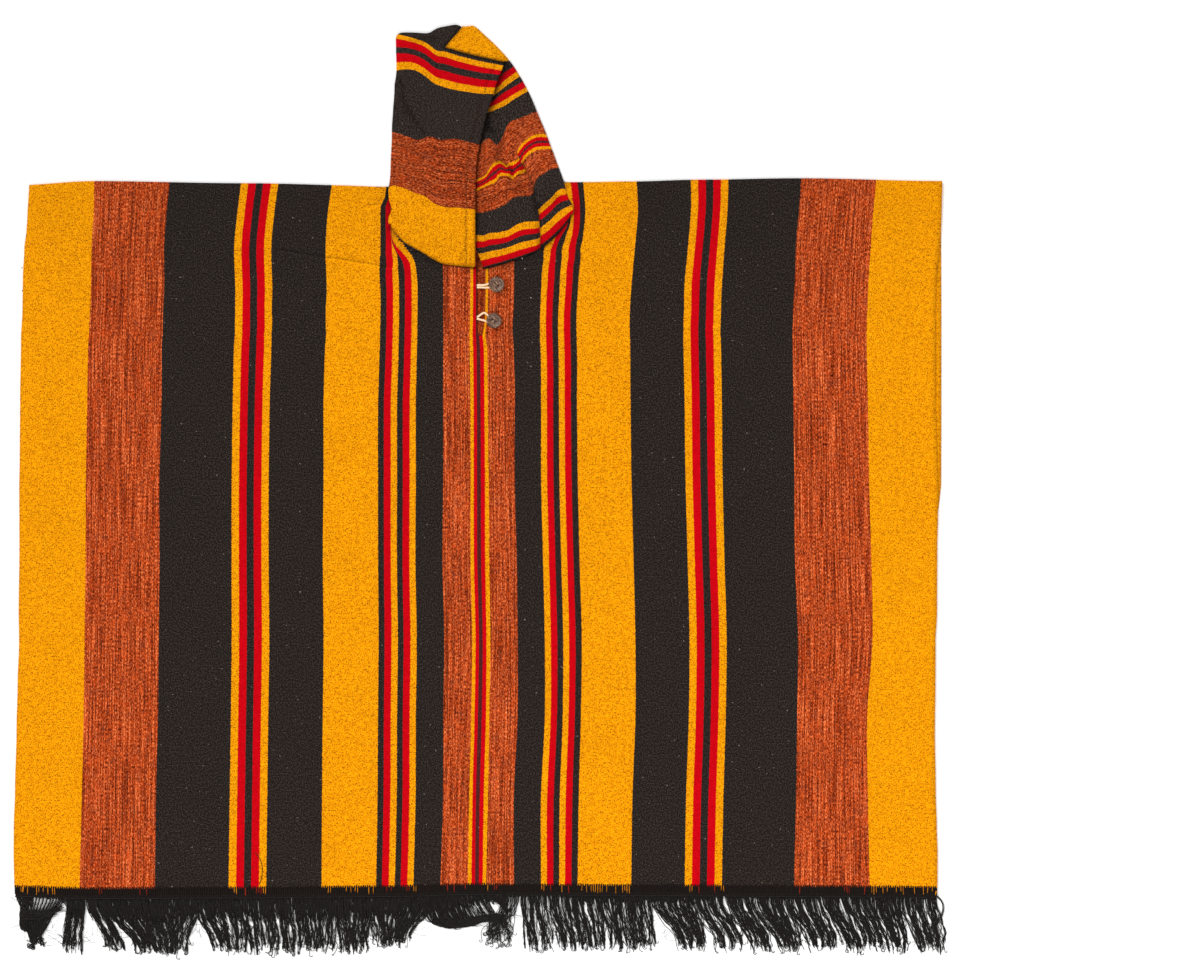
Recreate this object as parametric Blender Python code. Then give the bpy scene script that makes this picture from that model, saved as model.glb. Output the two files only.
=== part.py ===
"""Hooded striped poncho with a fringed hem, laid out flat, front up.

The cloth is one long piece folded at the shoulders, so two layers lie on each other. The hood
is two folded panels, the hems carry black fringes, and two cord loops close the front slit on
buttons.

Lengths in this file are millimetres until a mesh is made. Plan positions are measured from
the centre front at the shoulder line: x to the right and y towards the hood. Z is up from the
surface that the poncho lies on. The last step puts the origin under the middle of the whole.
"""

import math

import bmesh
import bpy
from mathutils import Vector

MM = 0.001

# Cloth
CLOTH = 2.0                              # thickness of the woven wall
GAP = 0.3                                # between pieces that meet, and between layers
BACK_LEVEL = CLOTH / 2                   # middle of the back layer's wall
FRONT_LEVEL = BACK_LEVEL + CLOTH + GAP   # middle of the front layer's wall
LENGTH = 984.0                           # shoulder line to hem
SOFT_FOLD_RADIUS = 2.0                   # middle radius of the shoulder fold beside the hood
FLAT_FOLD_HALF = 135.0                   # half the width that lies pressed flat under the hood
FOLD_SETTLE = 60.0                       # how far from the fold the front settles on the back
BODY_COLUMNS = 24
BACK_ROWS = 10
FRONT_ROWS = 15
FOLD_STEPS = 4

# Selvedges, by distance below the shoulder line. The front's right edge is pulled in, so the
# back shows beside it down to the waist and lies under it from there.
EDGE = ("down", "left", "front_right", "back_right")
SELVEDGES = [
    (0, -631, 652, 652),
    (60, -635, 651, 651),
    (110, -640, 646, 650),
    (150, -641, 641, 650),
    (300, -643, 641, 650),
    (400, -646, 644, 650),
    (450, -646, 645, 645),
    (640, -645, 642, 641),
    (750, -649, 641, 640),
    (880, -652, 642, 641),
    (LENGTH, -652, 645, 643),
]

# The shoulder fold and the hem, which aren't quite straight across.
ACROSS = ("x", "shoulder", "hem")
ENDS = [
    (-652, 1, -983),
    (-540, 7, -986),
    (-330, 4, -985),
    (-130, 0, -983),
    (0, 0, -980),
    (130, 0, -981),
    (310, 8, -982),
    (450, 9, -983),
    (652, 6, -984),
]

# Neck and front slit. The front's neck edge lies 8 mm inside the hood's lower edge.
NECK = [
    (-120, 20), (-120, -40), (-110, -62), (-80, -82), (-52, -97), (-22, -103), (0, -105),
    (28, -98), (55, -91), (82, -80), (101, -60), (115, -36), (115, 20),
]
SLIT_LEFT = -3.0
SLIT_TOP = -100.0
SLIT_LEFT_FOOT = -205.0
SLIT_RIGHT = [(9.5, -112), (9.5, -172), (7.5, -192), (5.0, -206), (1.0, -210), (-2.5, -207)]
BACK_NECK = -1.6                         # the back's neck edge, just under the shoulder line
CUT_ABOVE = 20.0                         # how far a cutter stands over the front layer
CUT_BELOW = 10.0                         # and how far one stands under the back layer

# Hood panels. Each row is one section across a panel, from its front edge or crown seam (edge_*)
# to its outline (side_*), where the cloth turns under and runs on to the centre-back seam
# (back_*). sag is how far the section's middle hangs below a straight line, and rise how far it
# stands up. A row with no back_x lies below the shoulder line, where the panel ends at the neck
# seam.
SECTION = ("edge_x", "edge_y", "side_x", "side_y", "sag", "rise", "back_x", "back_y")
LEFT_PANEL = [
    (-5, -114, -128, -48, 22, 0.0, None, None),
    (-5, -95, -124, -36, 17, 0.9, None, None),
    (-5, -72, -123, -28, 11, 0.9, None, None),
    (-5, -48, -127, -13, 4, 0.6, None, None),
    (-5, -33, -128, 3, 1, 0.4, 0, BACK_NECK + GAP),
    (-4, -12, -125, 20, 0, 0.2, 1, 20),
    (-3, 12, -123, 45, 0, 0.0, 1, 45),
    (0, 40, -125, 66, 0, 0.0, 0, 66),
    (3, 66, -124, 90, 0, 0.3, -2, 90),
    (8, 92, -123, 112, 0, 0.5, -4, 110),
    (15, 114, -120, 134, 0, 0.5, -8, 130),
    (21, 132, -118, 156, 2, 0.3, -12, 150),
    (27, 151, -117, 184, 4, 0.0, -16, 168),
    (35, 170.5, -116, 200, 4, 0.0, -20, 180),
    (10, 179.3, -117, 206, 2, 0.0, -23, 188),
    (-16, 185.3, -116, 212, 1, 0.0, -26, 195),
    (-46.5, 194.8, -100, 215, 0, 0.0, -28, 201),
    (-43, 199.5, -80, 215.5, 0, 0.0, -29, 205),
    (-40, 203.6, -66, 218, 0, 0.0, -29.5, 208),
    (-36, 208.5, -56, 223, 0, 0.0, -30, 211),
    (-32, 213.4, -45, 225, 0, 0.0, -30, 214),
    (-26.5, 220.5, -34, 226.5, 0, 0.0, -30, 218),
]
RIGHT_PANEL = [
    (-14, -112, 131, -35, 31, 0.0, None, None),
    (-14, -84, 132, -28, 22, 0.6, None, None),
    (-14, -48, 129, -15, 12, 0.6, None, None),
    (-14, -16, 124, 3, 4, 0.3, 0, BACK_NECK + GAP),
    (-13, 12, 116, 20, 0, 0.0, 1, 20),
    (-11, 38, 109, 41, 0, 0.0, 1, 45),
    (-7, 66, 99, 66, 0, 0.3, 0, 66),
    (-3, 88, 89, 90, 0, 0.5, -2, 90),
    (4, 110, 79, 112, 0, 0.5, -4, 110),
    (11, 126, 69, 132, 0, 0.3, -8, 130),
    (17, 139, 60, 151, 0, 0.0, -12, 150),
    (32, 156, 50, 168, 0, 0.0, -16, 168),
    (36.8, 171.2, 40, 182, 0, 0.0, -20, 180),
    (11, 180.3, 23, 200, 0, 0.0, -23, 190),
    (-15.5, 186.2, 9, 213, 0, 0.0, -26, 198),
    (-45.2, 195.5, -3, 221, 0, 0.0, -28, 205),
    (-39.2, 203.6, -9, 225, 0, 0.0, -28, 210),
    (-31.2, 213.4, -16, 224.5, 0, 0.0, -28, 214),
    (-25.7, 220.5, -21, 224.5, 0, 0.0, -28, 217.5),
]
HOOD_LEVEL = 6.0                         # middle of the upper wall of a panel
OVERLAP_WIDTH = 22.0                     # strip along the left front edge that lies on the right
OVERLAP_RISE = CLOTH + GAP
OVERLAP_END = 155.0                      # the overlap runs out here, where the crown seam begins
OVERLAP_FADE = 15.0
RISE_SHAPE = 0.6                         # below 1, a section's rise is flat-topped
# The right panel's pressed-in pleat: its fold line, top to bottom. Beyond the line the cloth
# lies on its own folded-in part.
FOLD_POINT = ("x", "y")
PLEAT = [(20, 130), (38, 75), (55, 45), (67, 31), (77, -4), (84, -39), (90, -88)]
PLEAT_TOP = 52.0                         # the pleat runs out here
PLEAT_GROWTH = 45.0                      # and reaches its full rise this far below
PLEAT_RISE = 3.2
PLEAT_STEP = 1.6                         # half the width of the step up to it
PLEAT_SETTLE = 38.0                      # how far beside the step the cloth comes down again
PLEAT_COLUMN = 7                         # the grid's column at the foot of the step
PLEAT_SHARES = (0.3, 0.8)                # the pleat lies somewhere in this stretch of a section
PLEAT_TRIALS = 100
PLEAT_HALF_LIMIT = 0.03                  # of a section's width, the most that half the step takes
UPPER_STEPS = 12
TURN_STEPS = 3
UNDER_STEPS = 4

# Fringe. Each row is a clump of locks: where it leaves the header, where its tips lie, and how
# far below the header they reach.
HEADER = 20.0                            # width of the header tape
HEADER_THICK = 2.0
LOCK_PITCH = 10.8                        # of neighbouring locks at the header
LOCK_FILL = 0.84                         # width of a lock in its share of a clump
LOCK_THICK = 1.5
LOCK_STATIONS = (0.3, 0.68, 1.0)         # shares of a lock's reach where its sides turn
LOCK_LEAN = 0.92                         # share of the way to its tip that a lock leans over
LOCK_UNEVEN = 0.09                       # how much of its reach a lock may lack
END_INSET = 0.5                          # of the header tape from each selvedge
FRONT_FALL = 0.1                         # how far the front's tips drop
BACK_FALL = -0.25                        # the back's tips rise a little off the floor
BACK_LEFT_OUT = 4                        # every fourth lock is missing at the back
CLUMP = ("root_from", "root_to", "tip_from", "tip_to", "reach")
CLUMPS = [
    (-650, -582, -630, -602, 67),
    (-580, -552, -580, -561, 74),
    (-550, -524, -525, -499, 71),
    (-522, -463, -482, -446, 77),
    (-461, -401, -443, -409, 79),
    (-397, -337, -377, -331, 76),
    (-335, -263, -327, -257, 79),
    (-261, -203, -254, -205, 77),
    (-201, -153, -193, -156, 79),
    (-150, -92, -142, -97, 70),
    (34, 58, 22, 48, 68),
    (60, 94, 66, 102, 78),
    (96, 170, 116, 178, 76),
    (172, 240, 181, 241, 75),
    (243, 316, 265, 316, 74),
    (319, 437, 330, 440, 76),
    (440, 521, 445, 524, 78),
    (524, 586, 532, 592, 77),
    (588, 642, 616, 646, 78),
]
# The swept clump: its locks run sideways under the header in nested arcs, then hang down.
SWEPT_ROOTS = (-89, 31)
SWEPT_DROP = (40, 10)                    # below the header, at the left and right roots
SWEPT_TURN = (22, 42)                    # where the locks turn down again
SWEPT_TIPS = (8, 34)
SWEPT_REACH = 66
SWEPT_LOCKS = 9
SWEPT_WIDTH = 2.6
SWEPT_STEP = 3.0                         # how far a swept lock steps aside under the header

# Buttons and loops
BUTTON = ("name", "x", "y", "diameter")
BUTTONS = [("upper", 25.5, -137.5, 21.0), ("lower", 21.8, -188.3, 20.0)]
# A button's section, from its shank out, round its rim and in over its hollow face: the share of
# its radius, and the height over its underside.
BUTTON_PROFILE = [
    (0.72, 0.0), (0.96, 0.9), (1.0, 1.7), (0.95, 2.85), (0.84, 3.2), (0.6, 2.5), (0.0, 2.5),
]
BUTTON_SIDES = 20
HOLE_SIDES = 8
HOLE_DEPTH = 1.5
SHANK_RADIUS = 1.8                       # wound thread between cloth and button
HOLE_RADIUS = 1.1
HOLE_OFFSET = 2.2
HOLE_TILT = 35.0                         # direction of the pair of holes, degrees
CORD = 2.8                               # diameter of a loop's cord
CORD_START = 0.4                         # between the slit's edge and a cord's end
CORD_STRAIGHT = 1.6                      # first stretch of a cord, straight out of the edge
CORD_CLIMB = 5.0                         # from its end, where a cord is half-way up
CORD_RISES = (0.7, 1.0, 2.3)             # over the front's middle: at the end, leaving, half-way up
CORD_OVER_X = 8.0                        # from here on a loop lies on the cloth beside the slit
END_APART = 0.2                          # of each of a loop's two ends from their middle line
RING_PLAY = 0.8                          # between a button's shank and the cord round it
RING_SIDE = 0.9                          # how wide the cord has opened when it reaches the shank
LOOP = ("name", "end_y", "rise_y", "fall_y", "eye_drop")
LOOPS = [("upper", -139.8, -138.6, -142.6, 3.0), ("lower", -184.0, -178.6, -187.8, 0.0)]


def named(columns, row):
    """A row of a table by its column names."""
    return dict(zip(columns, row))


def row_value(table, names, key, at, wanted):
    """Reads column `wanted` of a table at `at` in its column `key`, eased between the rows."""
    k, w = names.index(key), names.index(wanted)
    if at <= table[0][k]:
        return table[0][w]
    for low, high in zip(table, table[1:]):
        if at <= high[k]:
            share = (at - low[k]) / (high[k] - low[k])
            share = share * share * (3 - 2 * share)
            return low[w] + (high[w] - low[w]) * share
    return table[-1][w]


def ease(value):
    """0 up to 1 with soft ends, for a value that runs from 0 to 1."""
    value = min(max(value, 0.0), 1.0)
    return value * value * (3 - 2 * value)


def material(name, colour, roughness):
    """A plain Principled material."""
    made = bpy.data.materials.new(name)
    made.use_nodes = True
    shader = made.node_tree.nodes["Principled BSDF"]
    shader.inputs["Base Color"].default_value = (*colour, 1.0)
    shader.inputs["Roughness"].default_value = roughness
    return made


def add_object(name, points, faces, finish, smooth_angle=40.0):
    """Makes an object from points in millimetres and faces that index them."""
    mesh = bpy.data.meshes.new(name)
    mesh.from_pydata([(x * MM, y * MM, z * MM) for x, y, z in points], [], faces)
    made = bpy.data.objects.new(name, mesh)
    bpy.context.scene.collection.objects.link(made)
    mesh.materials.append(finish)
    build = bmesh.new()
    build.from_mesh(mesh)
    bmesh.ops.recalc_face_normals(build, faces=build.faces)
    build.to_mesh(mesh)
    build.free()
    mesh.shade_smooth()
    mesh.set_sharp_from_angle(angle=math.radians(smooth_angle))
    return made


def thicken(sheet, thickness):
    """Gives a sheet that lies in a wall's middle its thickness."""
    wall = sheet.modifiers.new("wall", "SOLIDIFY")
    wall.thickness = thickness * MM
    wall.offset = 0.0
    wall.use_even_offset = True


def cutter(name, outline, low, high):
    """An upright prism that cuts a wall, hidden from the part."""
    count = len(outline)
    points = [(x, y, low) for x, y in outline] + [(x, y, high) for x, y in outline]
    faces = [list(range(count))[::-1], list(range(count, 2 * count))]
    for i in range(count):
        j = (i + 1) % count
        faces.append((i, j, j + count, i + count))
    made = add_object(name, points, faces, material(name, (0.5, 0.5, 0.5), 0.5))
    made.hide_render = True
    made.display_type = "WIRE"
    return made


def cut(wall, tool):
    """Takes a cutter out of a wall."""
    step = wall.modifiers.new("cut_" + tool.name, "BOOLEAN")
    step.operation = "DIFFERENCE"
    step.solver = "EXACT"
    step.object = tool


def edge_x(down, side):
    return row_value(SELVEDGES, EDGE, "down", down, side)


def hem_y(x):
    return row_value(ENDS, ACROSS, "x", x, "hem")


def shoulder_y(x):
    return row_value(ENDS, ACROSS, "x", x, "shoulder")


def body_point(across, down, layer, level):
    """A point of the cloth: across 0 to 1 from left to right, down from the shoulder."""
    left = edge_x(down, "left")
    right = edge_x(down, layer + "_right")
    x = left + (right - left) * across
    top = shoulder_y(x)
    y = top + (hem_y(x) - top) * down / LENGTH
    return (x, y, level)


def fold_radius(across):
    """Middle radius of the shoulder fold: pressed flat under the hood, soft beside it."""
    flat = (FRONT_LEVEL - BACK_LEVEL) / 2
    x = edge_x(0, "left") + (edge_x(0, "front_right") - edge_x(0, "left")) * across
    return flat + (SOFT_FOLD_RADIUS - flat) * ease((abs(x) - FLAT_FOLD_HALF) / FLAT_FOLD_HALF * 2)


def body_strip(across):
    """Points down one thread of the cloth, from the back's hem over the fold to the front's hem."""
    radius = fold_radius(across)
    strip = []
    for i in range(BACK_ROWS + 1):
        down = LENGTH + (radius - LENGTH) * i / BACK_ROWS
        strip.append(body_point(across, down, "back", BACK_LEVEL))
    for i in range(1, FOLD_STEPS):
        turn = math.pi * i / FOLD_STEPS
        level = BACK_LEVEL + radius * (1 - math.cos(turn))
        strip.append(body_point(across, radius * (1 - math.sin(turn)), "front", level))
    puff = BACK_LEVEL + 2 * radius - FRONT_LEVEL
    for i in range(FRONT_ROWS + 1):
        below = (LENGTH - radius) * (i / FRONT_ROWS) ** 1.35
        level = FRONT_LEVEL + puff * (1 - ease(below / FOLD_SETTLE))
        strip.append(body_point(across, radius + below, "front", level))
    return strip


def body(finish):
    """Front and back in one length of cloth, folded at the shoulders, with neck and slit."""
    strips = [body_strip(c / BODY_COLUMNS) for c in range(BODY_COLUMNS + 1)]
    height = len(strips[0])
    points = [point for strip in strips for point in strip]
    faces = []
    for c in range(BODY_COLUMNS):
        for r in range(height - 1):
            at = c * height + r
            faces.append((at, at + height, at + height + 1, at + 1))
    cloth = add_object("body", points, faces, finish)
    thicken(cloth, CLOTH)
    between = BACK_LEVEL + (CLOTH + GAP) / 2
    above = FRONT_LEVEL + CUT_ABOVE
    slit = [(SLIT_LEFT, SLIT_TOP), (SLIT_RIGHT[0][0], SLIT_TOP)] + SLIT_RIGHT
    slit.append((SLIT_LEFT, SLIT_LEFT_FOOT))
    cut(cloth, cutter("neck_cutter", NECK, between, above))
    cut(cloth, cutter("slit_cutter", slit, between, above))
    left, right, top = NECK[0][0], NECK[-1][0], NECK[0][1]
    back_neck = [(left, BACK_NECK), (right, BACK_NECK), (right, top), (left, top)]
    cut(cloth, cutter("back_neck_cutter", back_neck, -CUT_BELOW, above))
    return cloth


def section_point(cut_across, share, end):
    """A plan point at `share` of the way from a section's edge to the point `end`."""
    edge = Vector((cut_across["edge_x"], cut_across["edge_y"]))
    spot = edge.lerp(end, share)
    spot.y -= cut_across["sag"] * math.sin(math.pi * share)
    return spot


def pleat_x(y):
    """Where the pleat's fold line is at y."""
    return row_value(PLEAT[::-1], FOLD_POINT, "y", y, "x")


def pleat_rise(x, y):
    """How far the pleat lifts the right panel at a point."""
    grown = ease((PLEAT_TOP - y) / PLEAT_GROWTH)
    beside = x - pleat_x(y)
    step = ease(0.5 + beside / (2 * PLEAT_STEP))
    return PLEAT_RISE * grown * step * (1 - ease((beside - PLEAT_STEP) / PLEAT_SETTLE))


def even_shares():
    """Places across a section, evenly spread."""
    return [i / UPPER_STEPS for i in range(UPPER_STEPS + 1)]


def pleated_shares(cut_across, end):
    """Places across a section, gathered so that two of them bound the pleat's step."""
    edge = Vector((cut_across["edge_x"], cut_across["edge_y"]))
    first, last = PLEAT_SHARES

    def miss(share):
        spot = section_point(cut_across, share, end)
        return abs(spot.x - pleat_x(spot.y))

    trials = [first + (last - first) * i / PLEAT_TRIALS for i in range(PLEAT_TRIALS + 1)]
    fold = min(trials, key=miss)
    half = min(PLEAT_STEP / (end - edge).length, PLEAT_HALF_LIMIT)
    foot, top = fold - half, fold + half
    after = UPPER_STEPS - PLEAT_COLUMN - 1
    before = [foot * i / PLEAT_COLUMN for i in range(PLEAT_COLUMN + 1)]
    return before + [top + (1 - top) * i / after for i in range(after + 1)]


def panel_level(side, share, cut_across, spot):
    """Middle height of a panel's upper wall at `share` of the way from its edge to its side."""
    level = HOOD_LEVEL + cut_across["rise"] * math.sin(math.pi * share) ** RISE_SHAPE
    if side == "right":
        return level + pleat_rise(spot.x, spot.y)
    reach = math.hypot(cut_across["side_x"] - cut_across["edge_x"],
                       cut_across["side_y"] - cut_across["edge_y"])
    on_the_right = 1 - ease(share * reach / OVERLAP_WIDTH - 0.35)
    below_crown = 1 - ease((cut_across["edge_y"] - OVERLAP_END) / OVERLAP_FADE)
    return level + OVERLAP_RISE * below_crown * on_the_right


def upper_line(side, cut_across, end):
    """Points of a panel's upper wall along one section."""
    shares = pleated_shares(cut_across, end) if side == "right" else even_shares()
    line = []
    for share in shares:
        spot = section_point(cut_across, share, end)
        line.append((spot.x, spot.y, panel_level(side, min(share, 1.0), cut_across, spot)))
    return line


def turned_line(start, along, level):
    """Points round the fold at a panel's outline, from its upper wall to its under wall."""
    radius = (level - BACK_LEVEL) / 2
    line = []
    for i in range(1, TURN_STEPS):
        turn = math.pi * i / TURN_STEPS
        spot = start + along * radius * math.sin(turn)
        line.append((spot.x, spot.y, BACK_LEVEL + radius * (1 + math.cos(turn))))
    return line


def under_line(start, middle, dips):
    """Points of a panel's under wall, from the fold to the centre-back seam."""
    line = []
    for i in range(UNDER_STEPS + 1):
        spot = start.lerp(middle, i / UNDER_STEPS)
        if dips and i > 0:
            spot.y = middle.y
        line.append((spot.x, spot.y, BACK_LEVEL))
    return line


def hood_panel(side, rows, finish):
    """One panel: the upper wall from the front edge to the outline, and the wall under it."""
    points, grid = [], []
    sections = [named(SECTION, row) for row in rows]
    first_turned = next(item for item in sections if item["back_x"] is not None)
    seam_side = -0.5 if side == "left" else 0.5
    for item in sections:
        edge = Vector((item["edge_x"], item["edge_y"]))
        outline = Vector((item["side_x"], item["side_y"]))
        if item["back_x"] is None:
            line = upper_line(side, item, outline)
        else:
            along = (outline - edge).normalized()
            level = panel_level(side, 1.0, item, outline)
            start = outline - along * (level - BACK_LEVEL) / 2
            middle = Vector((item["back_x"] + seam_side * GAP, item["back_y"]))
            line = upper_line(side, item, start)
            line += turned_line(start, along, line[-1][2])
            line += under_line(start, middle, item is first_turned)
        grid.append(list(range(len(points), len(points) + len(line))))
        points += line
    faces = []
    for low, high in zip(grid, grid[1:]):
        for i in range(min(len(low), len(high)) - 1):
            faces.append((low[i], low[i + 1], high[i + 1], high[i]))
    panel = add_object("hood_" + side, points, faces, finish)
    thicken(panel, CLOTH)
    return panel


def clump_locks():
    """Root, tip and reach of every hanging lock, in order from the left."""
    locks = []
    for row in CLUMPS:
        clump = named(CLUMP, row)
        roots = clump["root_to"] - clump["root_from"]
        tips = clump["tip_to"] - clump["tip_from"]
        count = max(2, round(roots / LOCK_PITCH))
        for i in range(count):
            share = (i + 0.5) / count
            uneven = 1 - LOCK_UNEVEN * abs(math.sin(2.3 * (len(locks) + 1)))
            locks.append({
                "root": clump["root_from"] + roots * share,
                "width": roots / count * LOCK_FILL,
                "tip": clump["tip_from"] + tips * share,
                "tip_width": tips / count * LOCK_FILL,
                "reach": clump["reach"] * uneven,
            })
    return locks


def swept_locks():
    """The locks of the swept clump, which turn down again on the right."""
    locks = []
    for i in range(SWEPT_LOCKS):
        share = (i + 0.5) / SWEPT_LOCKS
        root, tip, drop, turn = (
            low + (high - low) * share for low, high in (SWEPT_ROOTS, SWEPT_TIPS, SWEPT_DROP, SWEPT_TURN))
        width = (SWEPT_ROOTS[1] - SWEPT_ROOTS[0]) / SWEPT_LOCKS * LOCK_FILL
        locks.append({"root": root, "width": width, "tip": tip, "drop": drop, "turn": turn})
    return locks


def lock_route(lock, base):
    """Stations down a lock: position across, position down and width."""
    root, tip = lock["root"], lock["tip"]
    if "drop" in lock:
        drop, turn = lock["drop"], lock["turn"]
        low = base - drop * 0.86
        return [
            (root + SWEPT_STEP, base - drop * 0.55, SWEPT_WIDTH * 1.6),
            (root + SWEPT_STEP + drop * 0.45, base - drop * 0.92, SWEPT_WIDTH),
            (turn - 7, low, SWEPT_WIDTH),
            (turn, low - 7, SWEPT_WIDTH),
            (tip, base - SWEPT_REACH, SWEPT_WIDTH * 0.8),
        ]
    stations = []
    for share in LOCK_STATIONS:
        x = root + (tip - root) * ease(share * LOCK_LEAN)
        width = lock["width"] + (lock["tip_width"] - lock["width"]) * share
        stations.append((x, base - lock["reach"] * share, width))
    return stations


def corner(build, x, y, z):
    return build.verts.new((x * MM, y * MM, z * MM))


def header_tape(build, layer, level, locks):
    """The tape under a hem. Returns the two corners at each end of every lock's root."""
    low, high = level - HEADER_THICK / 2, level + HEADER_THICK / 2
    left, right = edge_x(LENGTH, "left"), edge_x(LENGTH, layer + "_right")
    xs = [left + END_INSET]
    for lock in locks:
        xs += [lock["root"] - lock["width"] / 2, lock["root"] + lock["width"] / 2]
    xs.append(right - END_INSET)
    bottom = []
    for x in xs:
        y = hem_y(x) - GAP - HEADER
        bottom.append((corner(build, x, y, low), corner(build, x, y, high)))
    top, marks = [], []
    for c in range(BODY_COLUMNS + 1):
        x = left + (right - left) * c / BODY_COLUMNS
        y = hem_y(x) - GAP
        top.append((corner(build, x, y, low), corner(build, x, y, high)))
        marks.append(min(range(len(xs)), key=lambda i: abs(xs[i] - x)))
    for (a, b), (m, n) in zip(zip(top, top[1:]), zip(marks, marks[1:])):
        build.faces.new((a[0], b[0], b[1], a[1]))
        build.faces.new([a[0]] + [pair[0] for pair in bottom[m:n + 1]] + [b[0]])
        build.faces.new([b[1]] + [pair[1] for pair in reversed(bottom[m:n + 1])] + [a[1]])
    for pair, edge in ((bottom[0], top[0]), (bottom[-1], top[-1])):
        build.faces.new((pair[0], pair[1], edge[1], edge[0]))
    for i in range(0, len(xs) - 1, 2):
        (a, b), (c, d) = bottom[i], bottom[i + 1]
        build.faces.new((a, b, d, c))
    return bottom[1:-1]


def lock_body(build, lock, root, level, fall):
    """Pulls a lock out of its root's four corners and down its route."""
    (a, b), (c, d) = root
    ring = [a, b, d, c]
    base = hem_y(lock["root"]) - GAP - HEADER
    stations = lock_route(lock, base)
    before = Vector((lock["root"], base))
    for i, (x, y, width) in enumerate(stations):
        spot = Vector((x, y))
        after = Vector(stations[i + 1][:2]) if i + 1 < len(stations) else spot + (spot - before)
        along = ((spot - before).normalized() + (after - spot).normalized()).normalized()
        side = Vector((-along.y, along.x)) * width / 2
        z = level - fall * (i + 1) / len(stations)
        low, high = z - LOCK_THICK / 2, z + LOCK_THICK / 2
        left, right = spot - side, spot + side
        made = [
            corner(build, left.x, left.y, low), corner(build, left.x, left.y, high),
            corner(build, right.x, right.y, high), corner(build, right.x, right.y, low),
        ]
        for j in range(4):
            k = (j + 1) % 4
            build.faces.new((ring[j], ring[k], made[k], made[j]))
        ring = made
        before = spot
    build.faces.new(ring)


def fringe(layer, level, fall, left_out, finish):
    """A header tape and its locks in one body. fall is how far the tips drop towards the floor.

    On the layer underneath, every left_out-th lock is missing.
    """
    locks = sorted(clump_locks() + swept_locks(), key=lambda lock: lock["root"])
    if left_out:
        locks = [lock for i, lock in enumerate(locks) if i % left_out or "drop" in lock]
    build = bmesh.new()
    ends = header_tape(build, layer, level, locks)
    for n, lock in enumerate(locks):
        lock_body(build, lock, ends[2 * n:2 * n + 2], level, fall)
    bmesh.ops.recalc_face_normals(build, faces=build.faces)
    mesh = bpy.data.meshes.new("fringe_" + layer)
    build.to_mesh(mesh)
    build.free()
    mesh.materials.append(finish)
    made = bpy.data.objects.new("fringe_" + layer, mesh)
    bpy.context.scene.collection.objects.link(made)
    return made


def circle(centre, radius, steps):
    """Plan points round a centre."""
    turns = [math.tau * i / steps for i in range(steps)]
    return [(centre[0] + radius * math.cos(t), centre[1] + radius * math.sin(t)) for t in turns]


def turned(name, profile, steps, centre, finish):
    """A body turned round an upright axis from (radius, height) points, axis to axis."""
    points = [(*centre, profile[0][1])]
    for radius, z in profile[1:-1]:
        points += [(*spot, z) for spot in circle(centre, radius, steps)]
    points.append((*centre, profile[-1][1]))
    faces = []
    for i in range(steps):
        j = (i + 1) % steps
        faces.append((0, 1 + j, 1 + i))
        for ring in range(len(profile) - 3):
            at = 1 + ring * steps
            faces.append((at + i, at + j, at + steps + j, at + steps + i))
        last = 1 + (len(profile) - 3) * steps
        faces.append((last + i, last + j, len(points) - 1))
    return add_object(name, points, faces, finish)


def button(name, x, y, diameter, finish):
    """A dished shell button on a wound thread shank, with two sewing holes."""
    foot = FRONT_LEVEL + CLOTH / 2 + GAP
    under = foot + CORD + 2 * GAP
    radius = diameter / 2
    profile = [(0, foot), (SHANK_RADIUS, foot), (SHANK_RADIUS, under)]
    profile += [(radius * share, under + height) for share, height in BUTTON_PROFILE]
    made = turned(name, profile, BUTTON_SIDES, (x, y), finish)
    tilt = math.radians(HOLE_TILT)
    face = under + BUTTON_PROFILE[-1][1]
    for side in (-1, 1):
        reach = side * HOLE_OFFSET
        at = (x + reach * math.cos(tilt), y + reach * math.sin(tilt))
        hole = cutter(f"{name}_hole_{side + 2}", circle(at, HOLE_RADIUS, HOLE_SIDES),
                      face - HOLE_DEPTH, face + HOLE_DEPTH)
        cut(made, hole)
    return made


def smooth_route(points, per_span):
    """Points along a smooth curve through the given points."""
    padded = [points[0]] + points + [points[-1]]
    route = []
    for a, b, c, d in zip(padded, padded[1:], padded[2:], padded[3:]):
        for i in range(per_span):
            t = i / per_span
            route.append(tuple(
                0.5 * (2 * q + (r - p) * t + (2 * p - 5 * q + 4 * r - s) * t * t
                       + (3 * q - p - 3 * r + s) * t ** 3)
                for p, q, r, s in zip(a, b, c, d)))
    route.append(points[-1])
    return route


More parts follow.
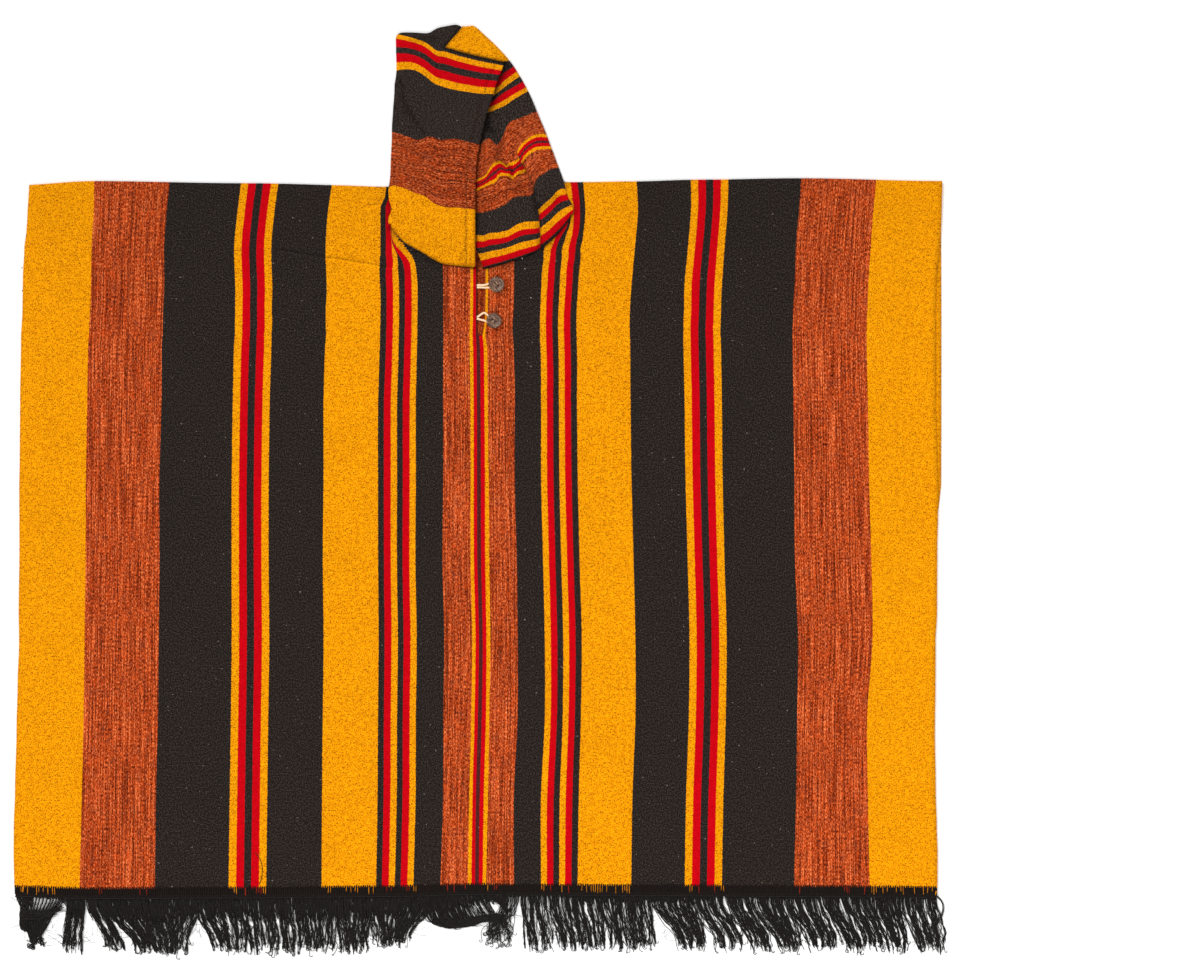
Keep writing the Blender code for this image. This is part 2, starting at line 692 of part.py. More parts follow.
def loop_route(loop, post):
    """Points along a cord from the slit's left edge, round a button's shank and back."""
    half = CORD / 2
    start_x = SLIT_LEFT + CORD_START
    climb_x = start_x + CORD_CLIMB
    over = FRONT_LEVEL + CLOTH / 2 + GAP + half
    inside, leaving, climbing = (FRONT_LEVEL + rise for rise in CORD_RISES)
    x, y = post
    ring = SHANK_RADIUS + half + RING_PLAY
    top, bottom = loop["end_y"] + half + END_APART, loop["end_y"] - half - END_APART
    rise_y, fall_y, drop = loop["rise_y"], loop["fall_y"], loop["eye_drop"]
    return smooth_route([
        (start_x, top, inside),
        (start_x + CORD_STRAIGHT, top, leaving),
        (climb_x, (top + rise_y + half) / 2, climbing),
        (CORD_OVER_X, rise_y + half, over),
        (x - ring, y + ring * RING_SIDE, over),
        (x, y + ring, over),
        (x + ring, y, over),
        (x + half / 3, y - ring - drop, over),
        (x - ring, y - ring * RING_SIDE - drop * 0.3, over),
        (CORD_OVER_X, fall_y - half * 0.2, over),
        (climb_x, (bottom + fall_y) / 2, climbing),
        (start_x + CORD_STRAIGHT, bottom, leaving),
        (start_x, bottom, inside),
    ], 2)


def cord_loop(name, loop, post, finish):
    """A button loop of round cord."""
    curve = bpy.data.curves.new(name, "CURVE")
    curve.dimensions = "3D"
    curve.bevel_depth = CORD / 2 * MM
    curve.bevel_resolution = 2
    curve.use_fill_caps = True
    line = curve.splines.new("POLY")
    route = loop_route(loop, post)
    line.points.add(len(route) - 1)
    for point, (px, py, pz) in zip(line.points, route):
        point.co = (px * MM, py * MM, pz * MM, 1.0)
    curve.materials.append(finish)
    made = bpy.data.objects.new(name, curve)
    bpy.context.scene.collection.objects.link(made)
    return made


def centre_on_origin(parts):
    """Moves the whole so that the origin is under the middle of its box."""
    bpy.context.view_layer.update()
    graph = bpy.context.evaluated_depsgraph_get()
    low, high = Vector((1e9, 1e9, 1e9)), Vector((-1e9, -1e9, -1e9))
    for part in parts:
        shape = part.evaluated_get(graph)
        mesh = shape.to_mesh()
        for vertex in mesh.vertices:
            for axis in range(3):
                low[axis] = min(low[axis], vertex.co[axis])
                high[axis] = max(high[axis], vertex.co[axis])
        shape.to_mesh_clear()
    shift = Vector((-(low.x + high.x) / 2, -(low.y + high.y) / 2, -low.z))
    for thing in bpy.context.scene.objects:
        thing.location += shift


def main():
    for old in list(bpy.data.objects):
        bpy.data.objects.remove(old)
    stripes = material("striped_cloth", (0.80, 0.38, 0.05), 0.9)
    hood = material("hood_cloth", (0.30, 0.09, 0.04), 0.9)
    fringe_black = material("fringe_thread", (0.012, 0.010, 0.010), 0.7)
    shell = material("coconut_shell", (0.10, 0.07, 0.06), 0.45)
    cord = material("loop_cord", (0.85, 0.78, 0.62), 0.8)
    parts = [
        body(stripes),
        hood_panel("left", LEFT_PANEL, hood),
        hood_panel("right", RIGHT_PANEL, hood),
        fringe("front", FRONT_LEVEL, FRONT_FALL, None, fringe_black),
        fringe("back", BACK_LEVEL, BACK_FALL, BACK_LEFT_OUT, fringe_black),
    ]
    posts = {}
    for row in BUTTONS:
        item = named(BUTTON, row)
        posts[item["name"]] = (item["x"], item["y"])
        parts.append(button("button_" + item["name"], item["x"], item["y"], item["diameter"], shell))
    for row in LOOPS:
        loop = named(LOOP, row)
        parts.append(cord_loop("loop_" + loop["name"], loop, posts[loop["name"]], cord))
    centre_on_origin(parts)


main()
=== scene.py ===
"""Looks of the hooded striped poncho: cloth shells, fringes, buttons and cord loops."""

import math
import random

import bmesh
import bpy
import numpy as np
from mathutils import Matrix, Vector
from mathutils.geometry import delaunay_2d_cdt


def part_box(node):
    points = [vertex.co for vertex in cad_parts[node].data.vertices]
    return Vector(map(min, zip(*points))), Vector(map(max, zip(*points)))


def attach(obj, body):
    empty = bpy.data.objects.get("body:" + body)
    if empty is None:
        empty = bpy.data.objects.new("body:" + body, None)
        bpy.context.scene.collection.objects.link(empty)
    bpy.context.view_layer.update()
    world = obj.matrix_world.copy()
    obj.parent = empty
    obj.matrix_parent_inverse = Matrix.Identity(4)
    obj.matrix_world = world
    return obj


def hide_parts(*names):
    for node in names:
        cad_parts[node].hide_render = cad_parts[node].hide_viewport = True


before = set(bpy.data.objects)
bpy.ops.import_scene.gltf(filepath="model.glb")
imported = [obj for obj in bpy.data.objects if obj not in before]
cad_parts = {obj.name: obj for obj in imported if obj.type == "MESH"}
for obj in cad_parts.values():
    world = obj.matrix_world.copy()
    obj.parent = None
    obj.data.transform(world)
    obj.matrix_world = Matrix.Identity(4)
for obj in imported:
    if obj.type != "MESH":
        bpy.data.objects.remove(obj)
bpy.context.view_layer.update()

MM = 0.001
# Plan tables are in squares of 1.405 mm, one to a pixel of the photo, counted right and down from its
# corner. plan() turns them into millimetres from the centre front at the shoulder line.
SQUARE = 1.405
CENTRE_U, SHOULDER_V = 479.0, 187.0
# The body's lowest x and y in millimetres. With its box in the frame they place the design.
BODY_LEFT, BODY_FOOT = -652.0, -986.0
shift_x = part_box("body")[0].x / MM - BODY_LEFT
shift_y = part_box("body")[0].y / MM - BODY_FOOT

CLOTH = 1.8                              # the cloth's thickness
BACK_LEVEL = 1.0                         # middle heights of the back layer, the front layer and the hood
FRONT_LEVEL = 3.3
HOOD_LEVEL = 6.0
FRONT_TOP = FRONT_LEVEL + CLOTH / 2
LENGTH = 984.0                           # from the shoulder line down to the hem
CELL_STEPS = 255.0                       # a stripe table's coordinate counts this many cells


def ease(value):
    """0 up to 1 with soft ends."""
    value = np.clip(value, 0.0, 1.0)
    return value * value * (3 - 2 * value)


def near(distance, width):
    """1 at no distance, fading out softly over about two widths."""
    return np.exp(-(distance / width) ** 2)


def columns_of(table):
    """A table's columns, one array each."""
    return np.array(table, float).T


def steps_at(at, table, column):
    """A table's column at `at` in its first column, eased between the rows."""
    xs, ys = columns_of(table)[[0, column]]
    at = np.asarray(at, float)
    i = np.clip(np.searchsorted(xs, at, side="right") - 1, 0, len(xs) - 2)
    return ys[i] + (ys[i + 1] - ys[i]) * ease((at - xs[i]) / (xs[i + 1] - xs[i]))


def curve_at(at, xs, ys):
    """A smooth curve through the points (xs, ys), read at `at`. Beyond its ends it stays level."""
    at = np.clip(np.asarray(at, float), xs[0], xs[-1])
    slope = np.empty_like(ys)
    slope[1:-1] = (ys[2:] - ys[:-2]) / (xs[2:] - xs[:-2])
    slope[0] = (ys[1] - ys[0]) / (xs[1] - xs[0])
    slope[-1] = (ys[-1] - ys[-2]) / (xs[-1] - xs[-2])
    i = np.clip(np.searchsorted(xs, at, side="right") - 1, 0, len(xs) - 2)
    h = xs[i + 1] - xs[i]
    t = (at - xs[i]) / h
    a, b = 2 * t**3 - 3 * t**2 + 1, t**3 - 2 * t**2 + t
    c, d = -2 * t**3 + 3 * t**2, t**3 - t**2
    return a * ys[i] + b * h * slope[i] + c * ys[i + 1] + d * h * slope[i + 1]


def plan(u, v):
    """Plan squares to millimetres."""
    return (np.asarray(u, float) - CENTRE_U) * SQUARE, (SHOULDER_V - np.asarray(v, float)) * SQUARE


def plan_line(line):
    """A line of (u, v) points as (x, y) millimetres."""
    return np.stack(plan(*columns_of(line)), axis=1)


def squares(x, y):
    """Millimetres to plan squares."""
    return np.asarray(x, float) / SQUARE + CENTRE_U, SHOULDER_V - np.asarray(y, float) / SQUARE


def add_mesh(name, points, faces, finish, uvs=None, smooth=True, shade=None):
    """An object from points in design millimetres. uvs holds one cloth coordinate per face corner,
    and shade is the painted shade that darkens the cloth at each point, from 0 up to 1; where it is
    below 0 it is a painted highlight."""
    placed = (np.asarray(points, float) + np.array([shift_x, shift_y, 0.0])) * MM
    mesh = bpy.data.meshes.new(name)
    mesh.from_pydata(placed.tolist(), [], faces)
    if uvs is not None:
        mesh.uv_layers.new(name="cloth").data.foreach_set("uv", np.asarray(uvs, np.float32).ravel())
    if shade is not None:
        values = mesh.attributes.new("shade", "FLOAT", "POINT").data
        values.foreach_set("value", np.asarray(shade, np.float32))
    mesh.materials.append(finish)
    mesh.validate()
    if smooth:
        mesh.shade_smooth()
    made = bpy.data.objects.new(name, mesh)
    bpy.context.scene.collection.objects.link(made)
    return made


def apply_all(piece):
    """Turns a piece's modifiers into its mesh."""
    graph = bpy.context.evaluated_depsgraph_get()
    mesh = bpy.data.meshes.new_from_object(piece.evaluated_get(graph))
    piece.modifiers.clear()
    piece.data = mesh


def wall(piece):
    """Gives a sheet of cloth its thickness."""
    step = piece.modifiers.new("wall", "SOLIDIFY")
    step.thickness = CLOTH * MM
    step.offset = 0.0
    apply_all(piece)


def finish_piece(piece, nodes):
    """Tells the frame which body a piece rides and the nodes it replaces."""
    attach(piece, "root")
    if nodes:
        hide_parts(*nodes)
    return piece


# ---------------------------------------------------------------- materials

# Colours along the noise of each yarn: how high the noise is, and the 8-bit colour there.
YELLOW_TONES = [(0.37, (178, 96, 1)), (0.45, (220, 136, 1)), (0.53, (240, 155, 2)), (0.63, (254, 172, 8))]
HEATHER_TONES = [(0.36, (40, 10, 2)), (0.44, (108, 34, 8)), (0.50, (160, 58, 22)), (0.56, (206, 86, 36)),
                 (0.64, (248, 138, 82))]
BLACK_TONES = [(0.36, (21, 16, 14)), (0.5, (34, 28, 25)), (0.64, (58, 50, 46))]
RED_TONES = [(0.36, (160, 0, 8)), (0.5, (189, 0, 13)), (0.62, (208, 5, 22))]
SHELL_TONES = [(0.34, (30, 15, 10)), (0.48, (72, 42, 28)), (0.56, (104, 70, 50)), (0.66, (196, 156, 120))]
# Yarns and cords: dark colour, light colour, roughness, streaks per metre.
THREADS = {
    "black_thread": ((6, 5, 4), (40, 36, 33), 0.5, 900.0),
    "black_tape": ((12, 8, 7), (36, 26, 21), 0.9, 700.0),
    "cream_cord": ((240, 200, 154), (255, 232, 198), 0.8, 1400.0),
    "yellow_yarn": ((210, 120, 4), (240, 150, 10), 0.85, 900.0),
    "red_yarn": ((150, 20, 10), (190, 50, 20), 0.85, 900.0),
    "hem_yarn": ((44, 22, 8), (92, 48, 16), 0.85, 900.0),
    "lint": ((170, 160, 155), (225, 222, 220), 0.9, 900.0),
}
# The ramp colours that tell the stripes apart. M is the dark maroon between two narrow red stripes:
# black with a tenth of the red.
KINDS = {"Y": (1, 0, 0, 1), "H": (0, 1, 0, 1), "R": (0, 0, 1, 1), "K": (0, 0, 0, 1), "M": (0, 0, 0.1, 1)}
WEFT_PITCH = 0.0034                      # metres between the yarns that step a stripe's edge


def srgb(red, green, blue):
    """8-bit display colour to linear."""
    out = []
    for value in (red, green, blue):
        value /= 255
        out.append(value / 12.92 if value <= 0.04045 else ((value + 0.055) / 1.055) ** 2.4)
    return (*out, 1.0)


def tones(table, by=1.0):
    """Ramp stops from a table of tones, darkened or lightened."""
    return [(at, srgb(*(by * value for value in colour))) for at, colour in table]


def band_stops(bands):
    """Ramp stops for bands of [(cells wide, kind)], half a cell early so that none is missed."""
    stops, at = [], 0
    for width, kind in bands:
        stops.append((max(0.0, (at - 0.5) / CELL_STEPS), KINDS[kind]))
        at += width
    return stops


class Nodes:
    """Short calls for building a node tree."""

    def __init__(self, name, roughness, specular=None):
        self.material = bpy.data.materials.new(name)
        self.material.use_nodes = True
        self.tree = self.material.node_tree
        self.shader = self.tree.nodes["Principled BSDF"]
        self.shader.inputs["Roughness"].default_value = roughness
        if specular is not None:
            self.shader.inputs["Specular IOR Level"].default_value = specular

    def add(self, kind, **settings):
        node = self.tree.nodes.new("ShaderNode" + kind)
        for key, value in settings.items():
            setattr(node, key, value)
        return node

    def put(self, node, key, value):
        socket = node.inputs[key]
        if hasattr(value, "is_linked"):
            self.tree.links.new(value, socket)
        else:
            socket.default_value = value

    def math(self, operation, a, b=0.0, clamp=False):
        node = self.add("Math", operation=operation, use_clamp=clamp)
        self.put(node, 0, a)
        self.put(node, 1, b)
        return node.outputs[0]

    def plus(self, a, b):
        return self.math("ADD", a, b)

    def times(self, a, b):
        return self.math("MULTIPLY", a, b)

    def about_zero(self, noise, gain):
        """Noise turned into a swing to both sides of zero."""
        return self.times(self.math("SUBTRACT", noise, 0.5), gain)

    def vector(self, a, b, c=0.0):
        node = self.add("CombineXYZ")
        for i, value in enumerate((a, b, c)):
            self.put(node, i, value)
        return node.outputs[0]

    def scaled(self, vector, by):
        node = self.add("VectorMath", operation="MULTIPLY")
        self.put(node, 0, vector)
        node.inputs[1].default_value = by
        return node.outputs[0]

    def noise(self, vector, scale, detail=2.0, roughness=0.5):
        node = self.add("TexNoise")
        self.put(node, "Vector", vector)
        node.inputs["Scale"].default_value = scale
        node.inputs["Detail"].default_value = detail
        node.inputs["Roughness"].default_value = roughness
        return node.outputs["Fac"]

    def yarns(self, flat, across, along, detail, roughness):
        """Noise on the flat cloth, with its own scales across and along the stripes."""
        return self.noise(self.scaled(flat, (across, along, 0.0)), 1.0, detail, roughness)

    def ramp(self, value, stops, interpolation="LINEAR"):
        node = self.add("ValToRGB")
        self.put(node, 0, value)
        ramp = node.color_ramp
        ramp.interpolation = interpolation
        ramp.elements[0].position, ramp.elements[0].color = stops[0]
        ramp.elements.remove(ramp.elements[1])
        for at, colour in stops[1:]:
            ramp.elements.new(at).color = colour
        return node.outputs[0]

    def mix(self, share, a, b):
        node = self.add("Mix", data_type="RGBA")
        self.put(node, 0, share)
        self.put(node, 6, a)
        self.put(node, 7, b)
        return node.outputs[2]

    def stain(self, under, high, low, gain, share, colour):
        """Covers a share of what is under with a colour where high is above low."""
        mask = self.math("MULTIPLY", self.math("SUBTRACT", high, low), gain, clamp=True)
        return self.mix(self.times(mask, share), under, srgb(*colour))

    def bump(self, height, strength, distance):
        node = self.add("Bump")
        node.inputs["Strength"].default_value = strength
        node.inputs["Distance"].default_value = distance
        self.put(node, "Height", height)
        self.put(self.shader, "Normal", node.outputs[0])


def cloth_material(name, ramps, cell, heather_tone=1.0, black_tone=1.0, flecks=0.8, lines=0.42,
                   columns=0.36):
    """Brushed striped cloth. ramps is one list of bands, or two for the left and right of zero."""
    n = Nodes(name, 0.9, 0.04)
    uv = n.add("UVMap", uv_map="cloth").outputs[0]
    spot = n.add("TexCoord").outputs["Object"]
    split = n.add("SeparateXYZ")
    n.put(split, 0, uv)
    across, along = split.outputs[0], split.outputs[1]
    flat = n.vector(n.times(across, cell * MM * CELL_STEPS), along)
    # a stripe's edge steps with the yarns that cross it, and wavers a little
    teeth = n.times(n.math("SINE", n.times(along, math.tau / WEFT_PITCH)), 0.30)
    waver = n.about_zero(n.noise(spot, 420.0, 1.0), 1.5)
    at = n.plus(across, n.times(n.plus(teeth, waver), 1 / cell / CELL_STEPS))
    masks = n.ramp(n.math("ABSOLUTE", at), band_stops(ramps[0]), "CONSTANT")
    if len(ramps) == 2:
        other = n.ramp(n.math("ABSOLUTE", at), band_stops(ramps[1]), "CONSTANT")
        masks = n.mix(n.math("GREATER_THAN", at, 0.0), masks, other)
    kinds = n.add("SeparateColor")
    n.put(kinds, 0, masks)

    grain = n.yarns(flat, 900.0, 560.0, 1.5, 0.6)
    blotch = n.noise(spot, 190.0, 2.0, 0.6)
    broad = n.noise(spot, 13.0, 3.0)
    # golden yellow, mottled, with small brown flecks
    mottle = n.plus(n.times(grain, 0.72), n.times(blotch, 0.28))
    yellow = n.ramp(mottle, tones(YELLOW_TONES))
    yellow = n.stain(yellow, n.yarns(flat, 760.0, 430.0, 0.0, 0.4), 0.63, 16.0, flecks, (96, 44, 2))
    yellow = n.stain(yellow, n.yarns(flat, 340.0, 300.0, 0.0, 0.4), 0.7, 12.0, 0.6, (140, 74, 6))
    # orange and brown heather: fine broken fibres, in columns that run the length of the stripe
    fibre = n.yarns(flat, 760.0, 300.0, 2.0, 0.65)
    column = n.yarns(flat, 540.0, 10.0, 1.5, 0.6)
    strand = n.plus(n.times(fibre, 1 - columns), n.times(column, columns))
    strand = n.plus(strand, n.about_zero(blotch, 0.16))
    heather = n.ramp(strand, tones(HEATHER_TONES, heather_tone))
    dust = n.yarns(flat, 170.0, 60.0, 2.0, 0.6)
    heather = n.stain(heather, dust, 0.52, 5.0, 0.34, (118, 62, 46))
    heather = n.stain(heather, 0.46, dust, 6.0, 0.3, (222, 74, 14))
    heather = n.stain(heather, n.yarns(flat, 230.0, 4.0, 1.0, 0.5), 0.585, 12.0, lines, (86, 24, 8))
    # warm black with a little lint
    black = n.ramp(n.yarns(flat, 620.0, 520.0, 1.0, 0.5), tones(BLACK_TONES, black_tone))
    black = n.stain(black, n.noise(spot, 360.0, 0.0), 0.845, 20.0, 0.6, (158, 140, 130))
    red = n.ramp(mottle, tones(RED_TONES))
    colour = black
    for mask, own in zip(kinds.outputs, (yellow, heather, red)):
        colour = n.mix(mask, colour, own)
    # painted shade: the mesh's shade attribute darkens the colour, and where it is below 0 it lightens it as
    # a painted highlight; broad noise also lightens and darkens it at random
    painted_shade = n.add("Attribute", attribute_name="shade").outputs["Fac"]
    lit = n.plus(n.about_zero(broad, 0.16), 1.0)
    tone = n.add("HueSaturation")
    n.put(tone, "Value", n.times(lit, n.math("SUBTRACT", 1.0, painted_shade)))
    n.put(tone, "Color", colour)
    n.put(n.shader, "Base Color", tone.outputs[0])
    n.bump(n.plus(n.times(grain, 0.5), n.times(strand, 0.5)), 0.42, 0.0009)
    n.shader.inputs["Sheen Weight"].default_value = 0.02
    n.shader.inputs["Sheen Roughness"].default_value = 0.5
    return n.material


def thread_material(name, dark, light, roughness, scale):
    """Spun thread or cord: fine streaks from one colour to another."""
    n = Nodes(name, roughness, 0.15)
    value = n.noise(n.add("TexCoord").outputs["Object"], scale, 2.0)
    n.put(n.shader, "Base Color", n.ramp(value, [(0.3, srgb(*dark)), (0.7, srgb(*light))]))
    n.bump(value, 0.3, 0.0004)
    return n.material


def shell_material():
    """Coconut shell, cut and polished: dark brown with fine pale grain on the slant."""
    n = Nodes("coconut", 0.42)
    turn = n.add("VectorRotate", rotation_type="Z_AXIS")
    n.put(turn, 0, n.add("TexCoord").outputs["Object"])
    turn.inputs["Angle"].default_value = math.radians(35)
    grain = n.noise(n.scaled(turn.outputs[0], (260.0, 1500.0, 600.0)), 1.0, 3.0, 0.65)
    n.put(n.shader, "Base Color", n.ramp(grain, tones(SHELL_TONES)))
    n.bump(grain, 0.25, 0.0003)
    return n.material


def floor_material():
    """The white surface that the poncho lies on."""
    n = Nodes("floor", 0.9, 0.1)
    n.shader.inputs["Base Color"].default_value = (0.99, 0.99, 0.99, 1)
    return n.material


# ---------------------------------------------------------------- stripes of the body

# Cloth stripes from the left selvedge: where each begins in plan squares, at the row v = 400.
BODY_STRIPES = [
    (21, "Y"), (87, "H"), (162, "K"), (233, "Y"), (240.6, "R"), (246.8, "K"), (254.3, "R"), (262.5, "Y"),
    (270, "K"), (324, "Y"), (379, "K"), (384.9, "R"), (391.6, "Y"), (397.7, "K"), (403.4, "R"),
    (410.1, "Y"), (416.1, "K"), (443, "H"), (470, "Y"), (473.5, "R"), (477.2, "M"), (478, "M"), (479, "M"),
    (480.6, "R"), (484, "Y"), (488, "H"), (515, "K"), (541, "Y"), (546.8, "R"), (553.1, "K"),
    (558.9, "Y"), (564.6, "R"), (570.9, "K"), (577, "Y"), (631, "K"), (685, "Y"), (692.4, "R"),
    (700.7, "K"), (708.3, "R"), (716.4, "Y"), (722, "K"), (793, "H"), (868, "Y"), (942, None),
]
BODY_CELL = 2.6                          # millimetres of cloth to one cell
COLUMN_STEP = 5.3                        # squares between the mesh's columns, at most about
# Where the main stripes lie further up and down: v, then the u of each boundary in WARP_AT.
WARP_AT = [21, 87, 162, 233, 270, 324, 379, 443, 470, 478, 484, 488, 515, 541, 577, 631, 685, 722,
           793, 868, 942]
WARP = [
    (180, 30, 95.3, 171.6, 243.3, 278.9, 332.7, 386, 442.3, 470, 478, 484,
     488, 515.5, 544.2, 582.6, 636.6, 691.4, 727.4, 800.6, 876.3, 943),
    (215, 28, 94.7, 167.8, 238.8, 273.9, 327.5, 379.2, 442.3, 470, 477, 485,
     488, 515.5, 544.2, 587, 638.4, 691.7, 726.5, 798.5, 872.9, 942),
    (250, 24, 92.5, 165.2, 235.5, 270.9, 325.3, 378.9, 442.8, 470.5, 476.8, 485.5,
     488.2, 514.5, 543.4, 584, 635.6, 689, 723.8, 795.3, 870.4, 941),
    (290, 23, 91.7, 165.3, 236.6, 271.7, 326.4, 379.8, 443.3, 470.5, 476.8, 485.7,
     488.2, 514.4, 541.7, 578.9, 632, 685.2, 720.9, 793.9, 867.6, 942),
    (312, 22, 91.2, 164.2, 236.5, 271.2, 325.4, 379.8, 443.2, 470.2, 476.8, 485.3,
     487.6, 513.6, 539.6, 576.7, 630.5, 684.9, 720, 792.5, 866.9, 942),
    (326, 22, 90.3, 163.9, 236.3, 271.6, 325.5, 380, 443.3, 469.8, 476.8, 484.4,
     486.4, 512.7, 538.3, 574.8, 630.2, 684.3, 719.7, 792.2, 866.5, 942),
    (336, 22, 90, 163.9, 236.2, 271, 325.8, 380.2, 443.5, 469.6, 476.8, 482.8,
     485.4, 513, 538.5, 574.9, 630.3, 684.1, 719.3, 791.7, 866, 942),
    (348, 21, 89, 162.9, 235.3, 270.9, 324.8, 379.2, 443.3, 469.7, 477.4, 484,
     487.3, 513.8, 539.5, 576.1, 630.7, 684.1, 719.8, 791.8, 866, 942),
    (400, 21, 88.1, 162.6, 234.1, 269.3, 323.3, 377.9, 443.1, 470.5, 477.8, 484.6,
     487.8, 515.1, 541.3, 577.3, 631, 685.2, 720.7, 792.5, 867.2, 942),
    (480, 19, 86.7, 160.5, 233.1, 268.2, 323.2, 377.7, 443.3, 470.7, 477.9, 485.2,
     488.8, 514.9, 541.5, 578.2, 632, 686.2, 721.5, 793.4, 868.4, 942),
    (560, 20, 86.4, 160.5, 232.9, 268.1, 322.5, 377.9, 442.5, 470.6, 478.2, 485.4,
     489.4, 517, 543.3, 580, 634, 688.3, 723.3, 793.9, 870.7, 938),
    (640, 20, 85.3, 159.7, 233, 268.7, 323.3, 378.4, 444.3, 472.3, 479.9, 486.6,
     490.5, 517.9, 545.1, 582.2, 635.9, 690.2, 725.5, 797.1, 872, 936),
    (720, 17, 84.4, 158.9, 232.2, 267.7, 322.4, 377.7, 443.3, 471.3, 478.7, 486.1,
     489.4, 517.7, 545.1, 581.3, 635.9, 689.5, 724.6, 796.4, 866.6, 935),
    (800, 15, 82.5, 156.9, 231, 266.7, 321.7, 377.3, 443.1, 469.3, 476.8, 483.9,
     488.1, 514, 541.3, 579.2, 632.9, 686.8, 722.3, 795.3, 867.4, 936),
    (886, 15, 80.3, 155.9, 229.9, 265.7, 321.2, 375.8, 440.5, 467.9, 476, 482.9,
     486.2, 514.3, 541.3, 578, 631.7, 685.4, 720.8, 793.2, 869, 938),
]
# The neck seam gathers the stripes on both sides of the hood, down to PULL_FOOT: v, then the u of
# each boundary in LEFT_AT or RIGHT_AT.
PULL_FOOT = 400.0
LEFT_AT = [379, 384.9, 391.6, 397.7, 403.4, 410.1, 416.1]
LEFT_PULL = [
    (184, 386.3, 388.9, 389.6, 389.8, 390, 390.2, 391),
    (193, 385.4, 388.9, 389.8, 390.1, 390.4, 390.7, 391.4),
    (199, 384.4, 388.6, 390.2, 390.5, 390.8, 391.1, 391.8),
    (203.5, 382, 386.8, 390.6, 391, 391.4, 391.8, 392.2),
    (207.5, 380.4, 385.6, 391, 391.4, 391.8, 392.1, 392.5),
    (215, 380.2, 385.6, 391, 391.4, 391.8, 392.2, 392.6),
    (230, 380.4, 385.7, 391, 391.3, 391.6, 391.9, 392.9),
    (235, 380.4, 385.9, 391.2, 391.4, 391.7, 392, 394.7),
    (240, 380.3, 385.9, 391.6, 391.8, 392.1, 392.4, 398.7),
    (243.5, 380.2, 385.8, 391.9, 392.4, 392.9, 394, 402.2),
    (247, 380.2, 385.8, 392, 393.7, 394.3, 396.5, 404.2),
    (250, 380.2, 385.7, 392.1, 395, 395.7, 399.6, 406.4),
    (255, 380.2, 385.7, 392.1, 397.1, 398.3, 404, 410.4),
    (260, 379.4, 386.4, 393.1, 397.5, 401.7, 407.9, 413.5),
    (265, 379.2, 386.3, 392.8, 397.8, 403.3, 410.2, 415.2),
    (275, 379.2, 385.6, 392.3, 398, 404.8, 410.9, 416.6),
    (285, 379.8, 386.2, 392.9, 398.7, 404.8, 411.4, 417.5),
    (300, 380.4, 386.5, 393.1, 398.9, 405, 411.7, 417.5),
    (338, 379.7, 386.1, 392.6, 398.6, 404.5, 411.2, 417.1),
    (400, 377.9, 383.9, 390.7, 397, 402.8, 409.6, 415.7),
]
RIGHT_AT = [541, 546.8, 553.1, 558.9, 564.6, 570.9, 577]
RIGHT_PULL = [
    (184, 556, 558, 560, 563, 570.9, 577.3, 583.3),
    (200, 556, 558, 560, 563.5, 572.6, 579.4, 584.8),
    (215, 556, 558, 563, 571.3, 574.1, 580.4, 585.8),
    (222.7, 556, 560.5, 568.3, 570.8, 573.8, 580.4, 585.4),
    (230.4, 555, 562.3, 567.7, 570, 573.5, 580, 584.6),
    (238, 551, 557.3, 563.1, 566.9, 572.7, 578.8, 583.8),
    (245.8, 546.9, 554.2, 558.8, 565.1, 570.8, 576.9, 582.7),
    (253.5, 544.2, 551.2, 556.5, 562.3, 568.8, 575.8, 580.8),
    (261.2, 544.2, 550.2, 556, 562.4, 568.7, 575.2, 581.2),
    (272.7, 542.4, 548.6, 555.2, 561.1, 567, 573.5, 580.1),
    (284, 541.8, 548, 554.6, 560.3, 566.5, 572.9, 579),
    (300, 541.1, 546.8, 553.4, 559.7, 565.4, 572, 578.1),
    (314, 540.6, 546.4, 552.9, 558.8, 564.5, 571.1, 577.1),
    (330, 540.3, 546.1, 552.5, 558.4, 564.1, 570.6, 576.9),
    (352, 540.9, 546.7, 553.1, 558.9, 564.6, 571.1, 577.4),
    (376, 541.5, 547.2, 553.6, 559.2, 565, 571.5, 577.7),
    (400, 541.3, 547.1, 553.4, 559.2, 564.9, 571.2, 577.3),
]
# The side edges in millimetres: how far down, the left x, the front's right x, the back's right x.
SELVEDGES = [
    (0, -631, 650.2, 650.2), (46, -633.6, 649.4, 649.4), (60, -634.8, 649, 649), (90, -638, 646.5, 649),
    (130, -640, 642.5, 649.2), (173, -640.5, 641, 649.3), (215, -642.6, 641, 649.3),
    (300, -643.8, 641, 649.3), (384, -644.4, 643, 649.2), (425, -645.1, 644.6, 649),
    (444, -645, 644.8, 647), (466, -644.9, 644.3, 644.3), (510, -644.8, 643.3, 643.3),
    (600, -645.9, 643, 642.6), (640, -645.3, 640.9, 640), (700, -647.4, 640.8, 640),
    (765, -648.9, 640, 639.5), (850, -651, 641.2, 640.6), (900, -652.7, 642.6, 641.5),
    (935, -653, 643.8, 642.6), (984, -652, 643.6, 643),
]
# The upper and lower ends of the cloth in millimetres: x, the shoulder line's y, the hem's y.
ENDS = [
    (-652, 1, -983), (-540, 7, -986), (-330, 4, -985), (-130, 0, -983), (0, 0, -980),
    (60, 0, -981), (122, 6.5, -981), (215, 6.5, -981.5), (310, 9, -982), (450, 11, -983), (652, 7, -984),
]
